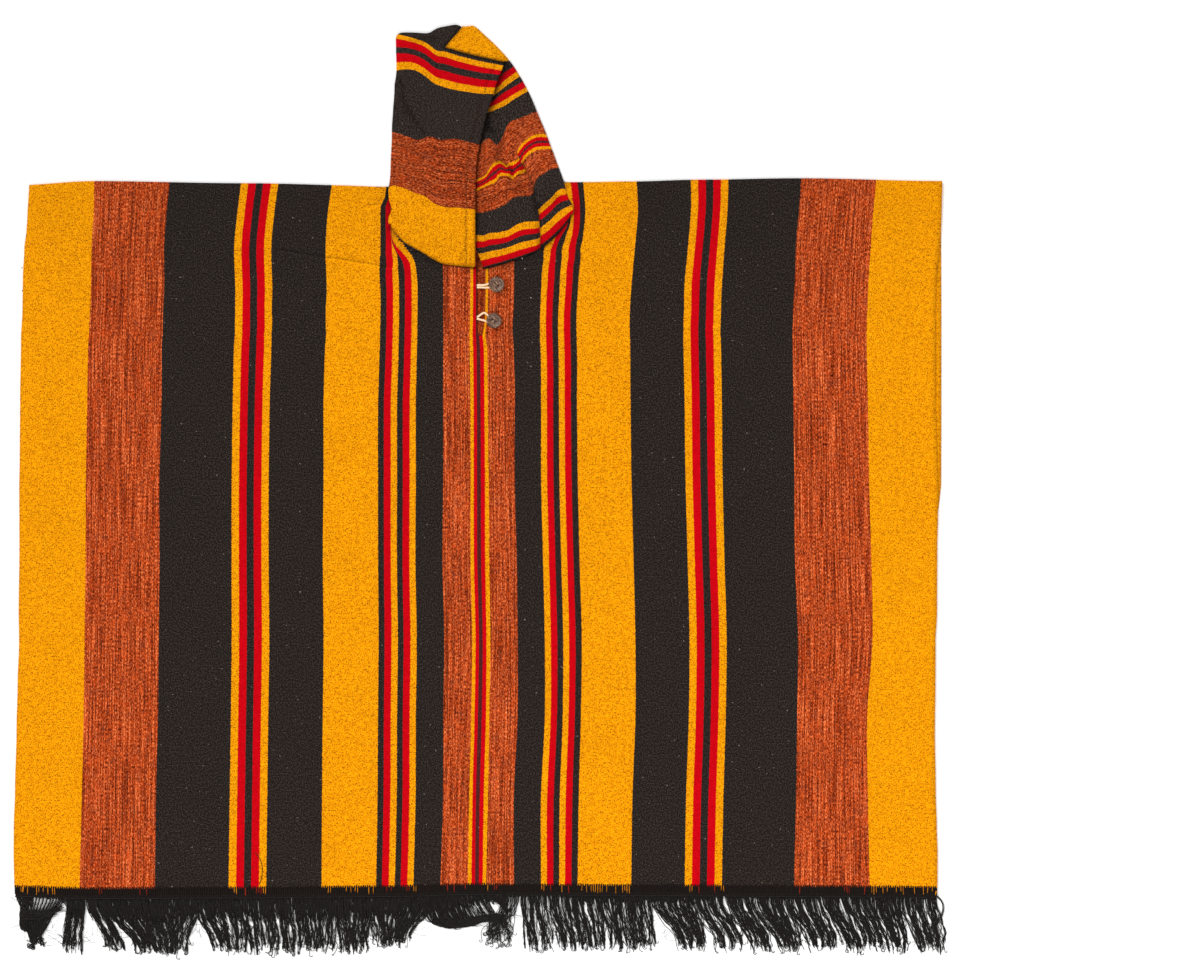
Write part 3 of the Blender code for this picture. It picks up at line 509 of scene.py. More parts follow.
# The neck's edge on the front as (x, y), and the foot of the slit as (stripe coordinate, y).
NECK = [
    (-120, -40), (-110, -62), (-80, -82), (-52, -97), (-22, -103), (0, -105), (28, -98),
    (55, -91), (82, -80), (101, -60), (115, -36),
]
SLIT_FOOT = [(477, -204), (478, -204), (480, -209), (482, -209), (484, -206)]
SLIT_LEFT, SLIT_RIGHT = 478.0, 484.0     # the columns at the slit's edges
BACK_NECK = -1.6                         # y of the back's edge in the neck
UNCUT = 1e3                              # a y above everything, where nothing is cut
# How far down the rows of the mesh lie, closer together at the folds, the creases and the slit's foot.
DOWN_FRONT = np.unique(np.concatenate([
    [2, 4, 6.5, 10, 15, 20], np.arange(27, 976, 7.6), np.arange(21, 30, 1.3), np.arange(82, 120, 1.3),
    [204, 206, 207.5, 209.5, 211.5, 214], [979, 982, LENGTH]]))
DOWN_BACK = np.concatenate([[2, 8], np.arange(24, 970, 19.0), [LENGTH]])
FOLD_STEPS = 5                           # steps round the shoulder fold
NECK_LEFT, NECK_RIGHT = -119, 114        # the stretch of the shoulder line that the neck opens


def body_cells():
    """Each boundary's cell number, from zero at the middle, and the bands to the left and right."""
    at = [start for start, _ in BODY_STRIPES]
    kinds = [kind for _, kind in BODY_STRIPES]
    middle = at.index(CENTRE_U)
    wide = [max(1, round((b - a) * SQUARE / BODY_CELL)) for a, b in zip(at, at[1:])]
    cells = np.concatenate([[0.0], np.cumsum(wide)])
    bands = list(zip(wide, kinds))
    return at, cells - cells[middle], bands[:middle][::-1], bands[middle:]


def body_columns():
    """Stripe coordinate of every column of the cloth's mesh, aligned with the stripes."""
    made = []
    at = [start for start, _ in BODY_STRIPES]
    for a, b in zip(at, at[1:]):
        count = max(1, round((b - a) / COLUMN_STEP))
        made += [a + (b - a) * i / count for i in range(count)]
    return np.array(made + [at[-1]], float)


def stripe_u(c, v):
    """Where boundary or column c of the cloth lies, at each v."""

    def rows(marks, table):
        vs, *lines = columns_of(table)
        at_v = np.stack([curve_at(v, vs, line) for line in lines], axis=1)
        inside = (c >= marks[0]) & (c <= marks[-1])
        return inside, np.array([np.interp(c[inside], marks, row) for row in at_v])

    out = rows(WARP_AT, WARP)[1]
    pulled = (np.asarray(v) <= PULL_FOOT)[:, None]
    for marks, table in ((LEFT_AT, LEFT_PULL), (RIGHT_AT, RIGHT_PULL)):
        inside, by_neck = rows(marks, table)
        out[:, inside] = np.where(pulled, by_neck, out[:, inside])
    return out


# Painted shade along the front's sharp creases: (u, v) lines, with the depth of their painted shade. A
# painted highlight lies just below each line.
CREASE_SHADE_LINES = [
    ([(272, 248.2), (290, 251), (305, 253.5), (325, 256.6), (345, 259.4), (365, 262.8), (387, 266.6)], 0.5),
    ([(352, 257), (359, 259.5), (367, 260.5)], 0.2),
    ([(369, 205.2), (375, 204.6), (381, 204)], 0.45),
]
HOOD_CORNER = (467.0, 268.6)             # (u, v) of the hood's lower front corner, where a painted shadow lies on the body
# Soft folds of the front: from, to, half width, height, in millimetres. A negative one is a trough.
FRONT_FOLDS = [
    ((-154, -26), (-139, -25), 1.8, -0.7),
    ((-305, -73), (-108, -104), 5, 1.6),
    ((-305, -84), (-120, -114), 6, -0.8),
    ((-600, -30), (-430, -52), 16, 0.5),
    ((-560, -180), (-380, -232), 34, 0.7),
    ((-240, -330), (-90, -300), 26, 0.5),
    ((-500, -470), (-300, -430), 42, 0.8),
    ((-120, -560), (60, -590), 38, 0.6),
    ((150, -260), (360, -215), 30, 0.7),
    ((420, -120), (600, -170), 26, 0.8),
    ((300, -480), (520, -520), 44, 0.8),
    ((120, -720), (300, -690), 36, 0.6),
    ((-420, -760), (-200, -800), 40, 0.7),
    ((440, -800), (600, -770), 30, 0.6),
    ((-620, -640), (-560, -860), 14, 0.6),
    ((600, -300), (622, -520), 10, 0.8),
    ((200, -860), (240, -960), 22, 0.5),
    ((-60, -900), (-90, -965), 20, 0.6),
]


def fold_height(x, y, folds):
    """Sum of soft ridges and troughs at plan points."""
    height = np.zeros_like(x)
    for (ax, ay), (bx, by), half, rise in folds:
        dx, dy = bx - ax, by - ay
        t = ((x - ax) * dx + (y - ay) * dy) / (dx * dx + dy * dy)
        ends = np.exp(-np.clip(np.abs(t - 0.5) - 0.35, 0, None) ** 2 / 0.03)
        beside = ((x - ax) * dy - (y - ay) * dx) / math.hypot(dx, dy)
        bend = beside + 6 * np.sin(t * 4.0 + ax)
        height += rise * ends * near(bend, half)
    return height


def body_shade(x, y, front):
    """Painted shade on the body: beside the hood, under its lower front corner, on the back seen
    through the slit and along the front's creases, with a painted highlight below each crease.
    """
    hood = LEFT_FOLD_EDGE[:8][::-1] + LEFT_NECK[::-1] + RIGHT_NECK[::-1] + RIGHT_FOLD_EDGE[-7:][::-1]
    beside = distance_to(plan_line(hood), x, y)
    corner_x, corner_y = plan(*HOOD_CORNER)
    # painted shade beside the hood's outline: a narrow dark line and a broad fainter one
    shade = 0.5 * near(beside, 1.9) + 0.2 * near(beside, 10)
    # a painted shadow under the hood's lower front corner
    shade += 0.5 * near(np.hypot(x - corner_x, y - corner_y), 2.4)
    for ends, deep in CREASE_SHADE_LINES:
        line = plan_line(ends)
        # painted shade on each crease line, and a painted highlight on a line 2.6 mm below it
        lit = line - np.array([0.0, 2.6])
        shade += deep * near(distance_to(line, x, y), 1.1) - 0.5 * deep * near(distance_to(lit, x, y), 1.4)
    # painted shade on the back layer where it shows through the slit, darkest towards the slit's top
    slit = np.abs(x - 2.5)
    under = ease((18 - slit) / 10) * ease((-y - 90) / 12) * ease((y + 222) / 10)
    under *= 0.32 + 0.5 * ease((y + 118) / 14)
    # on the front, a little painted shade towards the shoulder line; below 0 the shade is a painted
    # highlight
    return np.clip(np.where(front, shade + 0.06 * near(y, 110), under), -0.25, 0.7)


def body_layer(columns, down, right_column):
    """Plan points of one layer, rows by columns. right_column is its right edge's in SELVEDGES."""
    x = (stripe_u(columns, SHOULDER_V + down / SQUARE) - CENTRE_U) * SQUARE
    edges = [(0, 87, steps_at(down, SELVEDGES, 1)), (-1, 868, steps_at(down, SELVEDGES, right_column))]
    for edge, inner, want in edges:
        # the outer stripe stretches to meet the selvedge
        outer = (columns <= inner) if edge == 0 else (columns >= inner)
        weight = np.abs(columns[outer] - inner) / abs(columns[edge] - inner)
        x[:, outer] += weight[None, :] * (want - x[:, edge])[:, None]
    top, hem = steps_at(x, ENDS, 1), steps_at(x, ENDS, 2)
    return x, top + (hem - top) * down[:, None] / LENGTH


def front_height(columns, down, x, y, radius):
    """Middle height of the front layer: its folds, and its edges, which stand up a little."""
    puff = 2 * radius - (FRONT_LEVEL - BACK_LEVEL)
    z = FRONT_LEVEL + puff[None, :] * (1 - ease(down / 60))[:, None]
    z = z + fold_height(x, y, FRONT_FOLDS) * ease((down - 10) / 40)[:, None]
    right_edge = x[:, list(columns).index(SLIT_RIGHT)][:, None]
    beside = np.where(columns[None, :] <= CENTRE_U, np.abs(x + 3.0), np.abs(x - right_edge))
    z = z + 0.7 * ease((y + 216) / 14) * ease((-y - 40) / 20) * near(beside, 3.6)
    z = z + 0.35 * near(np.minimum(np.abs(x - x[:, :1]), np.abs(x - x[:, -1:])), 5.0)
    return z - 0.15 * near(LENGTH - down, 6.0)[:, None]


def body_faces(columns, back, fold, front, neck, gone):
    """Faces of the folded sheet between its rows of points. neck is true for the columns that the
    neck opens, and gone for the front's points in the neck and in the slit."""

    def quads(above, below, hole):
        """Faces between two rows of points, but for those in a hole."""
        return [(below[c], below[c + 1], above[c + 1], above[c]) for c in range(len(hole)) if not hole[c]]

    faces = []
    whole = np.zeros(len(columns) - 1, bool)
    for above, below in zip(back[1:], back):
        faces += quads(above, below, whole)
    rows = [back[0], *fold, front[0]]
    for above, below in zip(rows, rows[1:]):
        faces += quads(above, below, neck[:-1] | neck[1:])
    left, right = (list(columns).index(edge) for edge in (SLIT_LEFT, SLIT_RIGHT))
    hole = gone[:, :-1] & gone[:, 1:]
    hole[:, left] |= gone[:, left + 1]
    hole[:, left + 1:right] |= gone[:, left + 1:right]
    for above, below, gap in zip(front, front[1:], hole[1:]):
        faces += quads(above, below, gap)
    return faces


def make_body(finish):
    """The folded cloth as one sheet, from the back's hem over the shoulders down to the front's."""
    at, cells, _, _ = body_cells()
    columns = body_columns()
    cell = np.interp(columns, at, cells) / CELL_STEPS
    radius = 1.15 + 0.85 * ease((np.abs((columns - CENTRE_U) * SQUARE) - 135) / 67.5)
    xf, yf = body_layer(columns, DOWN_FRONT, 2)
    xb, yb = body_layer(columns, DOWN_BACK, 3)
    # the back cloth lies a little aside under the slit
    aside = 24 * ease((DOWN_BACK - 20) / 80) * (1 - ease((DOWN_BACK - 260) / 240))
    xb += aside[:, None] * near(xb, 150)
    yb = np.where((xb > NECK_LEFT) & (xb < NECK_RIGHT), np.minimum(yb, BACK_NECK), yb)
    zf = front_height(columns, DOWN_FRONT, xf, yf, radius)
    # the front stops at the neck's edge and at the foot of the slit
    open_here = (xf > NECK_LEFT) & (xf < NECK_RIGHT)
    cut = np.where(open_here, np.interp(xf, *columns_of(NECK)), UNCUT)
    slit = (columns > SLIT_LEFT) & (columns < SLIT_RIGHT)
    foot = np.interp(columns, *columns_of(SLIT_FOOT))
    cut = np.where(slit[None, :], np.minimum(cut, foot[None, :]), cut)
    gone = yf >= cut - 0.05
    yf = np.minimum(yf, cut)

    points, uv = [], []

    def add(x, y, z, along, order="C"):
        """Adds rows of points to the sheet, and returns their numbers."""
        start = sum(len(part) for part in points)
        points.append(np.column_stack([field.ravel(order) for field in (x, y, z + 0 * x)]))
        uv.append(np.column_stack([field.ravel(order) for field in (cell + 0 * x, along)]))
        return (start + np.arange(x.size).reshape(x.shape, order=order)).tolist()

    back = add(xb, yb, BACK_LEVEL, -yb * MM - 2.5)
    turn = math.pi * np.arange(1, FOLD_STEPS)[:, None] / FOLD_STEPS
    x = xb[0] + (xf[0] - xb[0]) * turn / math.pi
    y = shoulder_at(x) - (2.0 - radius * np.sin(turn) * 1.1)
    fold = add(x, y, BACK_LEVEL + radius * (1 - np.cos(turn)), y * MM, "F")
    front = add(xf, yf, zf, yf * MM)

    faces = body_faces(columns, back, fold, front, open_here[0], gone)
    points, uv = np.vstack(points), np.vstack(uv)
    shade = body_shade(points[:, 0], points[:, 1], np.arange(len(points)) >= xb.size)
    body = add_mesh("body_cloth", points, faces, finish, uv[np.array(faces).ravel()], shade=shade)
    build = bmesh.new()
    build.from_mesh(body.data)
    bmesh.ops.remove_doubles(build, verts=build.verts, dist=0.02 * MM)
    bmesh.ops.dissolve_degenerate(build, dist=0.02 * MM, edges=build.edges)
    loose = [v for v in build.verts if not v.link_faces]
    bmesh.ops.delete(build, geom=loose, context="VERTS")
    build.to_mesh(body.data)
    build.free()
    wall(body)
    return body


# ---------------------------------------------------------------- hood panels

HOOD_CELL = 1.4                          # millimetres of cloth to one cell
# Bands of each panel from its neck seam up, in cells.
LEFT_BANDS = [(52, "Y"), (58, "H"), (64, "K"), (7, "Y"), (8, "R"), (7, "K"), (8, "R"), (6, "Y"), (40, "K")]
RIGHT_BANDS = [(3, "K"), (7, "R"), (6, "Y"), (6, "K"), (6, "R"), (7, "Y"), (26, "K"), (24, "H"),
               (3, "Y"), (3, "R"), (2, "M"), (3, "R"), (3, "Y"), (36, "H"), (18, "K"), (5, "Y"),
               (6, "R"), (6, "K"), (6, "Y"), (5, "R"), (5, "K"), (60, "Y")]
# Boundaries across a panel as (u, v) points, by their place in the bands.
LEFT_CURVES = {
    0: [(380, 275), (510, 275)],
    1: [(380, 189), (388, 187.6), (394.5, 185.7), (405, 188.7), (414, 192.6), (425, 196.4), (433.6, 203),
        (445, 207.5), (456.5, 208), (475.6, 210), (484, 211)],
    2: [(380, 130), (392, 132), (405.5, 136), (418, 140.4), (422, 139), (429.7, 136.5), (440.6, 139.7),
        (456.5, 139), (469, 142.3), (478, 144.8), (490, 147)],
    3: [(380, 72), (397, 71.5), (407, 70.2), (415.7, 71.5), (424.6, 76.6), (434, 84.2), (443.8, 88),
        (456.5, 91.3), (469, 93.2), (480, 94.8), (494, 95.4), (510, 96)],
    8: [(380, 32), (397, 35.3), (408, 37.6), (424.8, 43), (437.7, 52), (444, 52.4), (459, 57),
        (477.5, 61.6), (503.4, 67), (512, 69)],
    9: [(380, -2), (512, 20)],
}
# The boundaries of a stripe group as shares of the way between two curves, at the group's left and
# right ends. Its span is the curve above it, the curve below it, and the u of its ends.
LEFT_SPAN = (8, 3, 396.5, 500)
LEFT_GROUP = {7: (0.116, 0.176), 6: (0.351, 0.331), 5: (0.517, 0.563), 4: (0.779, 0.789)}
# The right panel's curves up to its pleat's step, and those beyond it where they differ.
MAIN_CURVES = {
    0: [(465, 273), (484, 270), (500.6, 266), (520, 260), (541, 251)],
    1: [(465, 271), (483, 267), (493.4, 264), (500.6, 262), (509.9, 259), (519.9, 256), (529, 252.9),
        (536.3, 250.4), (541, 247)],
    6: [(465, 236), (480, 235.5), (484, 235.8), (488, 234), (492, 233), (497, 233), (502, 232), (507, 231),
        (510, 229.5), (514, 227), (518, 224.5), (522, 223), (526, 222), (531, 222), (541, 221.5)],
    7: [(465, 213), (480, 213), (485, 212.5), (490, 211), (495, 209.5), (500, 207.5), (505, 205),
        (508, 202.5), (511, 199.5), (515, 197.5), (520, 196.5), (526, 196), (530, 195.8), (534, 192.5),
        (536, 188)],
    8: [(465, 194), (477, 191), (481, 189), (485, 187), (489, 185.3), (493, 184.2), (496, 183),
        (497.5, 180), (499, 177.5), (502, 176), (506, 175.7), (509.5, 177), (512, 179), (513.5, 180),
        (515, 177.5), (517, 175), (520, 174), (523, 173.7), (526, 171.5), (530, 169)],
    13: [(465, 183), (476, 180), (480, 178.5), (484, 176.5), (487, 173.5), (489, 169.3), (491, 166),
         (493, 163.2), (496, 161), (499, 160.4), (502, 161.5), (504.5, 164), (506, 166.3), (507.5, 164.5),
         (510, 162.5), (514, 161.5), (517, 160), (519, 157.5), (522, 154)],
    14: [(465, 150), (478, 147), (481, 146), (483, 143.5), (486, 141), (490, 140.5), (493, 143), (495, 146),
         (497, 147), (499, 145.5), (501, 142), (503, 139), (504.5, 135), (506, 130), (508, 126), (511, 123),
         (515, 121), (520, 119.5), (524, 118), (528, 116.5), (532, 114.5), (537, 112.5), (545, 110)],
    15: [(480, 117), (488, 113.5), (494.5, 111), (505, 106.5), (514, 100.3), (528, 92), (536, 88)],
    16: [(480, 112), (488, 108.8), (495, 106), (505, 101), (514, 95.5), (527, 88), (536, 83)],
    17: [(480, 108), (490, 104), (496, 99.5), (505, 93), (514, 88), (524, 82), (536, 76)],
    18: [(480, 104), (492, 98), (498, 93.5), (505, 88), (513, 82), (522, 76), (536, 68)],
    19: [(480, 98), (494, 90), (500, 86.5), (506, 80.5), (512, 76.5), (519, 71), (536, 60)],
    20: [(480, 90), (496, 81), (501, 77), (506, 73), (511, 69.5), (516, 66), (536, 54)],
    21: [(440, 60), (480, 66), (497, 62.5), (505, 62), (512, 61.5), (536, 46)],
    22: [(430, -22), (540, -22)],
}
MAIN_SPAN = (6, 1, 478, 541)
MAIN_GROUP = {5: (0.18, 0.25), 4: (0.38, 0.42), 3: (0.56, 0.63), 2: (0.79, 0.85)}
BEYOND_CURVES = {
    0: [(530, 254), (541, 248.5), (546, 244.8), (552, 240), (558, 233), (564, 226), (569, 219), (576, 211)],
    1: [(530, 251), (540.6, 245.2), (543.4, 243.2), (547.7, 240), (551.3, 236.8), (554.1, 234.2),
        (557.7, 230.8), (562, 226.8), (567, 221.4), (572, 216), (578, 210)],
    6: [(530, 218), (539.9, 209), (543.4, 205.5), (547, 202), (550.6, 199), (553.5, 195.5), (557, 191.5),
        (560.6, 189.5), (564, 189.3), (574, 192)],
    7: [(526, 200), (530, 196), (534.2, 190), (534.8, 186), (535.5, 182), (537, 179), (540, 176.5),
        (544, 174), (548, 171), (552, 169), (556, 168.3), (559, 168.5), (566, 170)],
    8: [(512, 182), (519, 170), (522.5, 164.5), (523.5, 161), (526, 158), (529, 155), (533, 152),
        (537, 150.3), (542, 149.8), (551, 149.2), (560, 149.5)],
    13: [(510, 158), (517, 152), (518, 149), (520, 146), (523, 142.5), (527, 139), (531, 136.7), (535, 135),
         (540, 134), (546, 134.7), (556, 137)],
}
BEYOND_SPAN = (6, 1, 541, 570)
BEYOND_GROUP = {5: (0.16, 0.16), 4: (0.34, 0.34), 3: (0.555, 0.555), 2: (0.785, 0.785)}
# The narrow stripes in the right panel's heather, as shares of the way from curve 13 down to curve 8.
NARROW_SHARES = {12: 0.20, 11: 0.42, 10: 0.58, 9: 0.80}
# The step of the right panel's pressed pleat, as (v, u).
STEP = [(148, 516), (152, 517.5), (157, 519), (161, 521), (166, 524), (171.5, 527), (177, 530), (183, 532.5),
        (190, 534.3), (197, 534.8), (205, 537), (212, 539.3), (222, 540.3), (236, 541), (252, 541)]
# The seam that joins the two panels where the hood lies on the floor, from the crown to the neck.
UNDER_SEAM = [(-28, 218), (-26, 195), (-16, 168), (-4, 110), (0, 66), (0, 1.2)]
# The step starts at v = STEP_TOP and grows over STEP_GROWTH squares. It stands STEP_RISE high and
# falls off over STEP_SETTLE millimetres.
STEP_TOP, STEP_GROWTH, STEP_RISE, STEP_SETTLE = 148.0, 26.0, 3.8, 34.0
# How far the left panel's front edge lifts and its lower part swells, and a factor for all creases.
FRONT_LIFT, POUCH, CREASE_DEPTH = 3.2, 2.4, 1.7
# The line of stitches beside the front's right selvedge, and a loose thread on the front, as (u, v).
SELVEDGE_LINE = [(937.6, 258), (936.6, 280), (935.1, 292), (934.4, 330), (934.4, 420), (934.8, 520)]
LOOSE_THREAD = [(255.5, 852), (260, 858), (262.6, 866), (262.4, 875), (260, 884)]
HEM_STITCH = 12.8                        # from the left panel's front edge to its line of stitches
EDGE_STEP = 3.0                          # between the points of a panel's outline
PANEL_MESH, UNDER_MESH = 3.4, 7.0        # the size of a panel's triangles, above and underneath
ROLL_STEPS = 6                           # steps round a panel's fold

# The panels' edges as (u, v) points: the fold at the side, the crown's seam, the front edge and the
# neck's seam.
LEFT_FOLD_EDGE = [
    (389.6, 224.5), (388.9, 220.3), (389.8, 216.5), (392.6, 212), (392.9, 208.6), (390.6, 203), (389.4, 197),
    (389.6, 188), (390.9, 179), (391.3, 171), (391.5, 163), (391.9, 155), (392.3, 147), (392.7, 139),
    (392.7, 131), (393, 123), (393.6, 115), (394.1, 107), (394.8, 99), (395.3, 90), (395.4, 84),
    (396.9, 76.5), (397.3, 67), (397, 57), (396.8, 46), (396.8, 36.4), (399.8, 33.9), (409, 33.4),
    (418, 33.7), (429.4, 34), (436.8, 29.3), (447.9, 26.9), (457.2, 25.6), (461.3, 27.6)]
LEFT_CROWN = [(461.3, 28.8), (453, 38.3), (444.7, 48.2), (456, 51.7), (468, 55), (487, 59.4), (504.6, 63.8)]
LEFT_FRONT = [(503.2, 68), (499.4, 78), (496, 86.6), (493.6, 96), (486.8, 116), (480.3, 144), (476.8, 165),
              (475.9, 183), (475.5, 211), (475.5, 240), (475.4, 267)]
LEFT_NECK = [(472, 267.6), (456.5, 266), (446, 264.6), (441, 263.3), (432, 258.6), (422.8, 252.9),
             (413, 247.4), (405, 242.8), (399.4, 237.5), (396, 234), (392, 229.5)]
RIGHT_CROWN = [(505.4, 63.2), (487.2, 58.7), (468.2, 54.3), (456.2, 51), (444.9, 47.6), (453.3, 37.9),
               (461.5, 28.6)]
RIGHT_FOLD_EDGE = [
    (462, 27.4), (467.3, 27.6), (472.9, 26.3), (477, 29), (483.3, 35), (492, 43), (500, 51), (507.1, 59),
    (513.2, 67), (518.2, 75), (522.9, 83), (527.1, 91), (531, 99), (534.3, 107), (537.5, 115), (540.9, 123),
    (544.3, 131), (547.3, 139), (550.2, 147), (553.3, 155), (556.2, 163), (559.2, 171), (562.2, 179),
    (564, 185), (565.7, 193), (568.7, 200.5), (572.4, 207), (573.2, 211), (572.6, 214.5)]
RIGHT_NECK = [(567.8, 222), (561, 230.5), (556, 236), (549, 242.5), (541, 248), (529, 255), (520, 258.5),
              (509.9, 262.1), (500.6, 265), (493.4, 266.8), (484, 269.3)]
RIGHT_FRONT = [(481, 261), (478.3, 254), (474, 244), (470, 225), (469, 198), (469.7, 178.5), (471.2, 160),
               (474, 140), (476.9, 124.4), (481.8, 108.7), (486.8, 97.3), (491, 88), (497, 78), (502, 69)]


def boundaries(curves, group, span, narrow=None):
    """A panel's stripe boundaries in their order: their numbers, and each as a function of u."""
    made = {number: (lambda u, line=columns_of(line): curve_at(u, *line)) for number, line in curves.items()}
    top, low, u0, u1 = span
    for number, (first, last) in group.items():
        def between(u, first=first, last=last):
            share = first + (last - first) * np.clip((u - u0) / (u1 - u0), 0, 1)
            return made[top](u) + (made[low](u) - made[top](u)) * share
        made[number] = between
    for number, share in (narrow or {}).items():
        made[number] = lambda u, s=share: made[13](u) + (made[8](u) - made[13](u)) * s
    numbers = sorted(made)
    return numbers, [made[number] for number in numbers]


def cell_at(lines, bands, u, v):
    """The cell coordinate at plan points, from the boundaries round each."""
    numbers, functions = lines
    starts = np.concatenate([[0], np.cumsum([wide for wide, _ in bands])])
    at = np.stack([function(u) for function in functions], axis=1)
    for k in range(1, at.shape[1]):
        at[:, k] = np.minimum(at[:, k], at[:, k - 1] - 0.05)
    return np.array([np.interp(-v[i], -at[i], starts[numbers]) for i in range(len(u))])


def dense(line, spacing):
    """Points along a smooth curve through a line's points, in two or three dimensions."""
    points = np.array(line, float)
    run = np.concatenate([[0], np.cumsum(np.linalg.norm(np.diff(points, axis=0), axis=1))])
    at = np.linspace(0, run[-1], max(2, int(round(run[-1] / spacing)) + 1))
    return np.stack([curve_at(at, run, column) for column in points.T], axis=1)


def distance_to(line, x, y):
    """Shortest distance from plan points to a polyline."""
    best = np.full(len(x), 1e9)
    for (ax, ay), (bx, by) in zip(line, line[1:]):
        dx, dy = bx - ax, by - ay
        t = np.clip(((x - ax) * dx + (y - ay) * dy) / (dx * dx + dy * dy + 1e-12), 0, 1)
        best = np.minimum(best, np.hypot(x - ax - t * dx, y - ay - t * dy))
    return best


def inside_of(line, x, y):
    """True for plan points inside a closed outline."""
    hit = np.zeros(len(x), bool)
    for (ax, ay), (bx, by) in zip(line, np.roll(line, -1, axis=0)):
        cross = (ay > y) != (by > y)
        with np.errstate(divide="ignore", invalid="ignore"):
            where = (bx - ax) * (y - ay) / (by - ay) + ax
        hit ^= cross & (x < where)
    return hit


def ring_of(outline):
    """A closed outline as a polyline that ends where it starts."""
    return np.vstack([outline, outline[:1]])


def fill(outline, spacing, lines=()):
    """Triangles that fill an outline in plan millimetres, with extra lines kept as edges."""
    low, high = outline.min(0), outline.max(0)
    rows = []
    for j, y in enumerate(np.arange(low[1], high[1], spacing * 0.866)):
        xs = np.arange(low[0] + (spacing / 2 if j % 2 else 0), high[0], spacing)
        rows.append(np.stack([xs, np.full(len(xs), y)]))
    x, y = np.concatenate(rows, axis=1)
    keep = inside_of(outline, x, y) & (distance_to(ring_of(outline), x, y) > spacing * 0.55)
    for line in lines:
        keep &= distance_to(line, x, y) > spacing * 0.4
    verts = [Vector(p) for p in outline] + [Vector(p) for p in zip(x[keep], y[keep])]
    edges = []
    for line in lines:
        start = len(verts)
        verts += [Vector(p) for p in line]
        edges += [(start + i, start + i + 1) for i in range(len(line) - 1)]
    got = delaunay_2d_cdt(verts, edges, [list(range(len(outline)))], 0, 1e-5, True)
    flat = np.array([tuple(v) for v in got[0]])
    faces = [tuple(f) for f in got[2]]
    middle = np.array([flat[list(f)].mean(axis=0) for f in faces])
    keep = inside_of(outline, *middle.T)
    return flat, [f for f, k in zip(faces, keep) if k]


def leftward(line):
    """At each point of a plan line, one unit to its left."""
    along = np.gradient(line, axis=0)
    along /= np.maximum(np.hypot(*along.T), 1e-9)[:, None]
    return np.stack([-along[:, 1], along[:, 0]], axis=1)


def inset(line, by):
    """Points of an open line moved to its left by `by`."""
    return line + leftward(line) * by


def smooth_by(line, rounds=2):
    """Smooths a line in place, but for its ends."""
    for _ in range(rounds):
        line[1:-1] = line[1:-1] * 0.5 + (line[:-2] + line[2:]) * 0.25
    return line


# Painted shade of short puckers along the left panel's hem: their (u, v) ends, width in millimetres and
# # depth of painted shade.
PUCKER_SHADE = [((471, 258.5), (469.8, 268), 0.9, 0.42), ((467.6, 245.5), (459.5, 262), 1.0, 0.26),
           ((465.6, 249.5), (459, 254), 1.1, 0.24), ((466.4, 228), (469.4, 232), 1.1, 0.2),
           ((466, 238), (463, 243), 1.2, 0.18), ((466.5, 215), (463, 219), 1.1, 0.15)]
# Soft creases of the panels, like FRONT_FOLDS.
LEFT_CREASES = [
    ((-118, 150), (-91, 104), 2.8, -1.0), ((-115, 153), (-87.5, 105), 1.3, 1.1),
    ((-90, 108), (-83, 70), 2.8, -0.9), ((-87.5, 108), (-79.5, 70), 1.3, 0.9),
    ((-60, 60), (-20, 66), 12.0, 0.6), ((-100, 20), (-40, 12), 14.0, 0.7),
    ((-70, -30), (-40, -70), 9.0, 0.6), ((-112, -10), (-80, -30), 8.0, 0.7),
    ((-95, 130), (-60, 195), 10.0, 0.5), ((-40, 120), (0, 128), 14.0, 0.4),
    ((-20, -20), (-14, -80), 5.0, 0.5), ((-90, 214), (-60, 200), 6.0, -0.6),
]
RIGHT_CREASES = [
    ((17, 92), (28, 52), 4.5, -1.1), ((28, 52), (38, 28), 4.0, -1.5), ((38, 28), (48, 6), 4.5, -1.6),
    ((48, 6), (58, -14), 5.0, -0.8),
    ((8, 70), (18, 40), 7.0, 0.9), ((30, 76), (46, 52), 9.0, 0.8), ((44, 30), (56, 6), 6.0, 0.7),
    ((70, 60), (92, 34), 12.0, 0.8), ((12, -2), (36, -20), 8.0, 0.5), ((52, 22), (66, 2), 5.0, -1.2),
    ((80, -4), (104, 18), 7.0, 0.8), ((84, -34), (110, -6), 6.0, -0.6), ((26, 118), (52, 138), 9.0, 0.5),
    ((-20, 200), (20, 182), 10.0, 0.5), ((14, -60), (60, -52), 10.0, 0.5),
]


def shoulder_at(x):
    """y of the shoulder line."""
    return steps_at(x, ENDS, 1)


def turned(flat, faces, up):
    """Faces in plan, each wound so that it faces up, or down."""

    def faces_up(face):
        a, b, c = (flat[i] for i in face[:3])
        return (b[0] - a[0]) * (c[1] - a[1]) - (b[1] - a[1]) * (c[0] - a[0]) > 0

    return [face if faces_up(face) == up else face[::-1] for face in faces]


def panel_lines(left):
    """A panel's fold edge, its other edges in order as dense lines, and its front, neck and crown."""
    if left:
        fold, crown, front, neck = map(plan_line, (LEFT_FOLD_EDGE, LEFT_CROWN, LEFT_FRONT, LEFT_NECK))
        loop = [dense(crown[:3], EDGE_STEP), dense(crown[2:], EDGE_STEP)[1:], dense(front, EDGE_STEP),
                dense(neck, EDGE_STEP)]
    else:
        fold, crown, front, neck = map(plan_line, (RIGHT_FOLD_EDGE, RIGHT_CROWN, RIGHT_FRONT, RIGHT_NECK))
        loop = [dense(neck, EDGE_STEP), dense(front, EDGE_STEP), dense(crown[:5], EDGE_STEP),
                dense(crown[4:], EDGE_STEP)[1:]]
    return smooth_by(dense(fold, EDGE_STEP)), loop, (front, neck, crown)


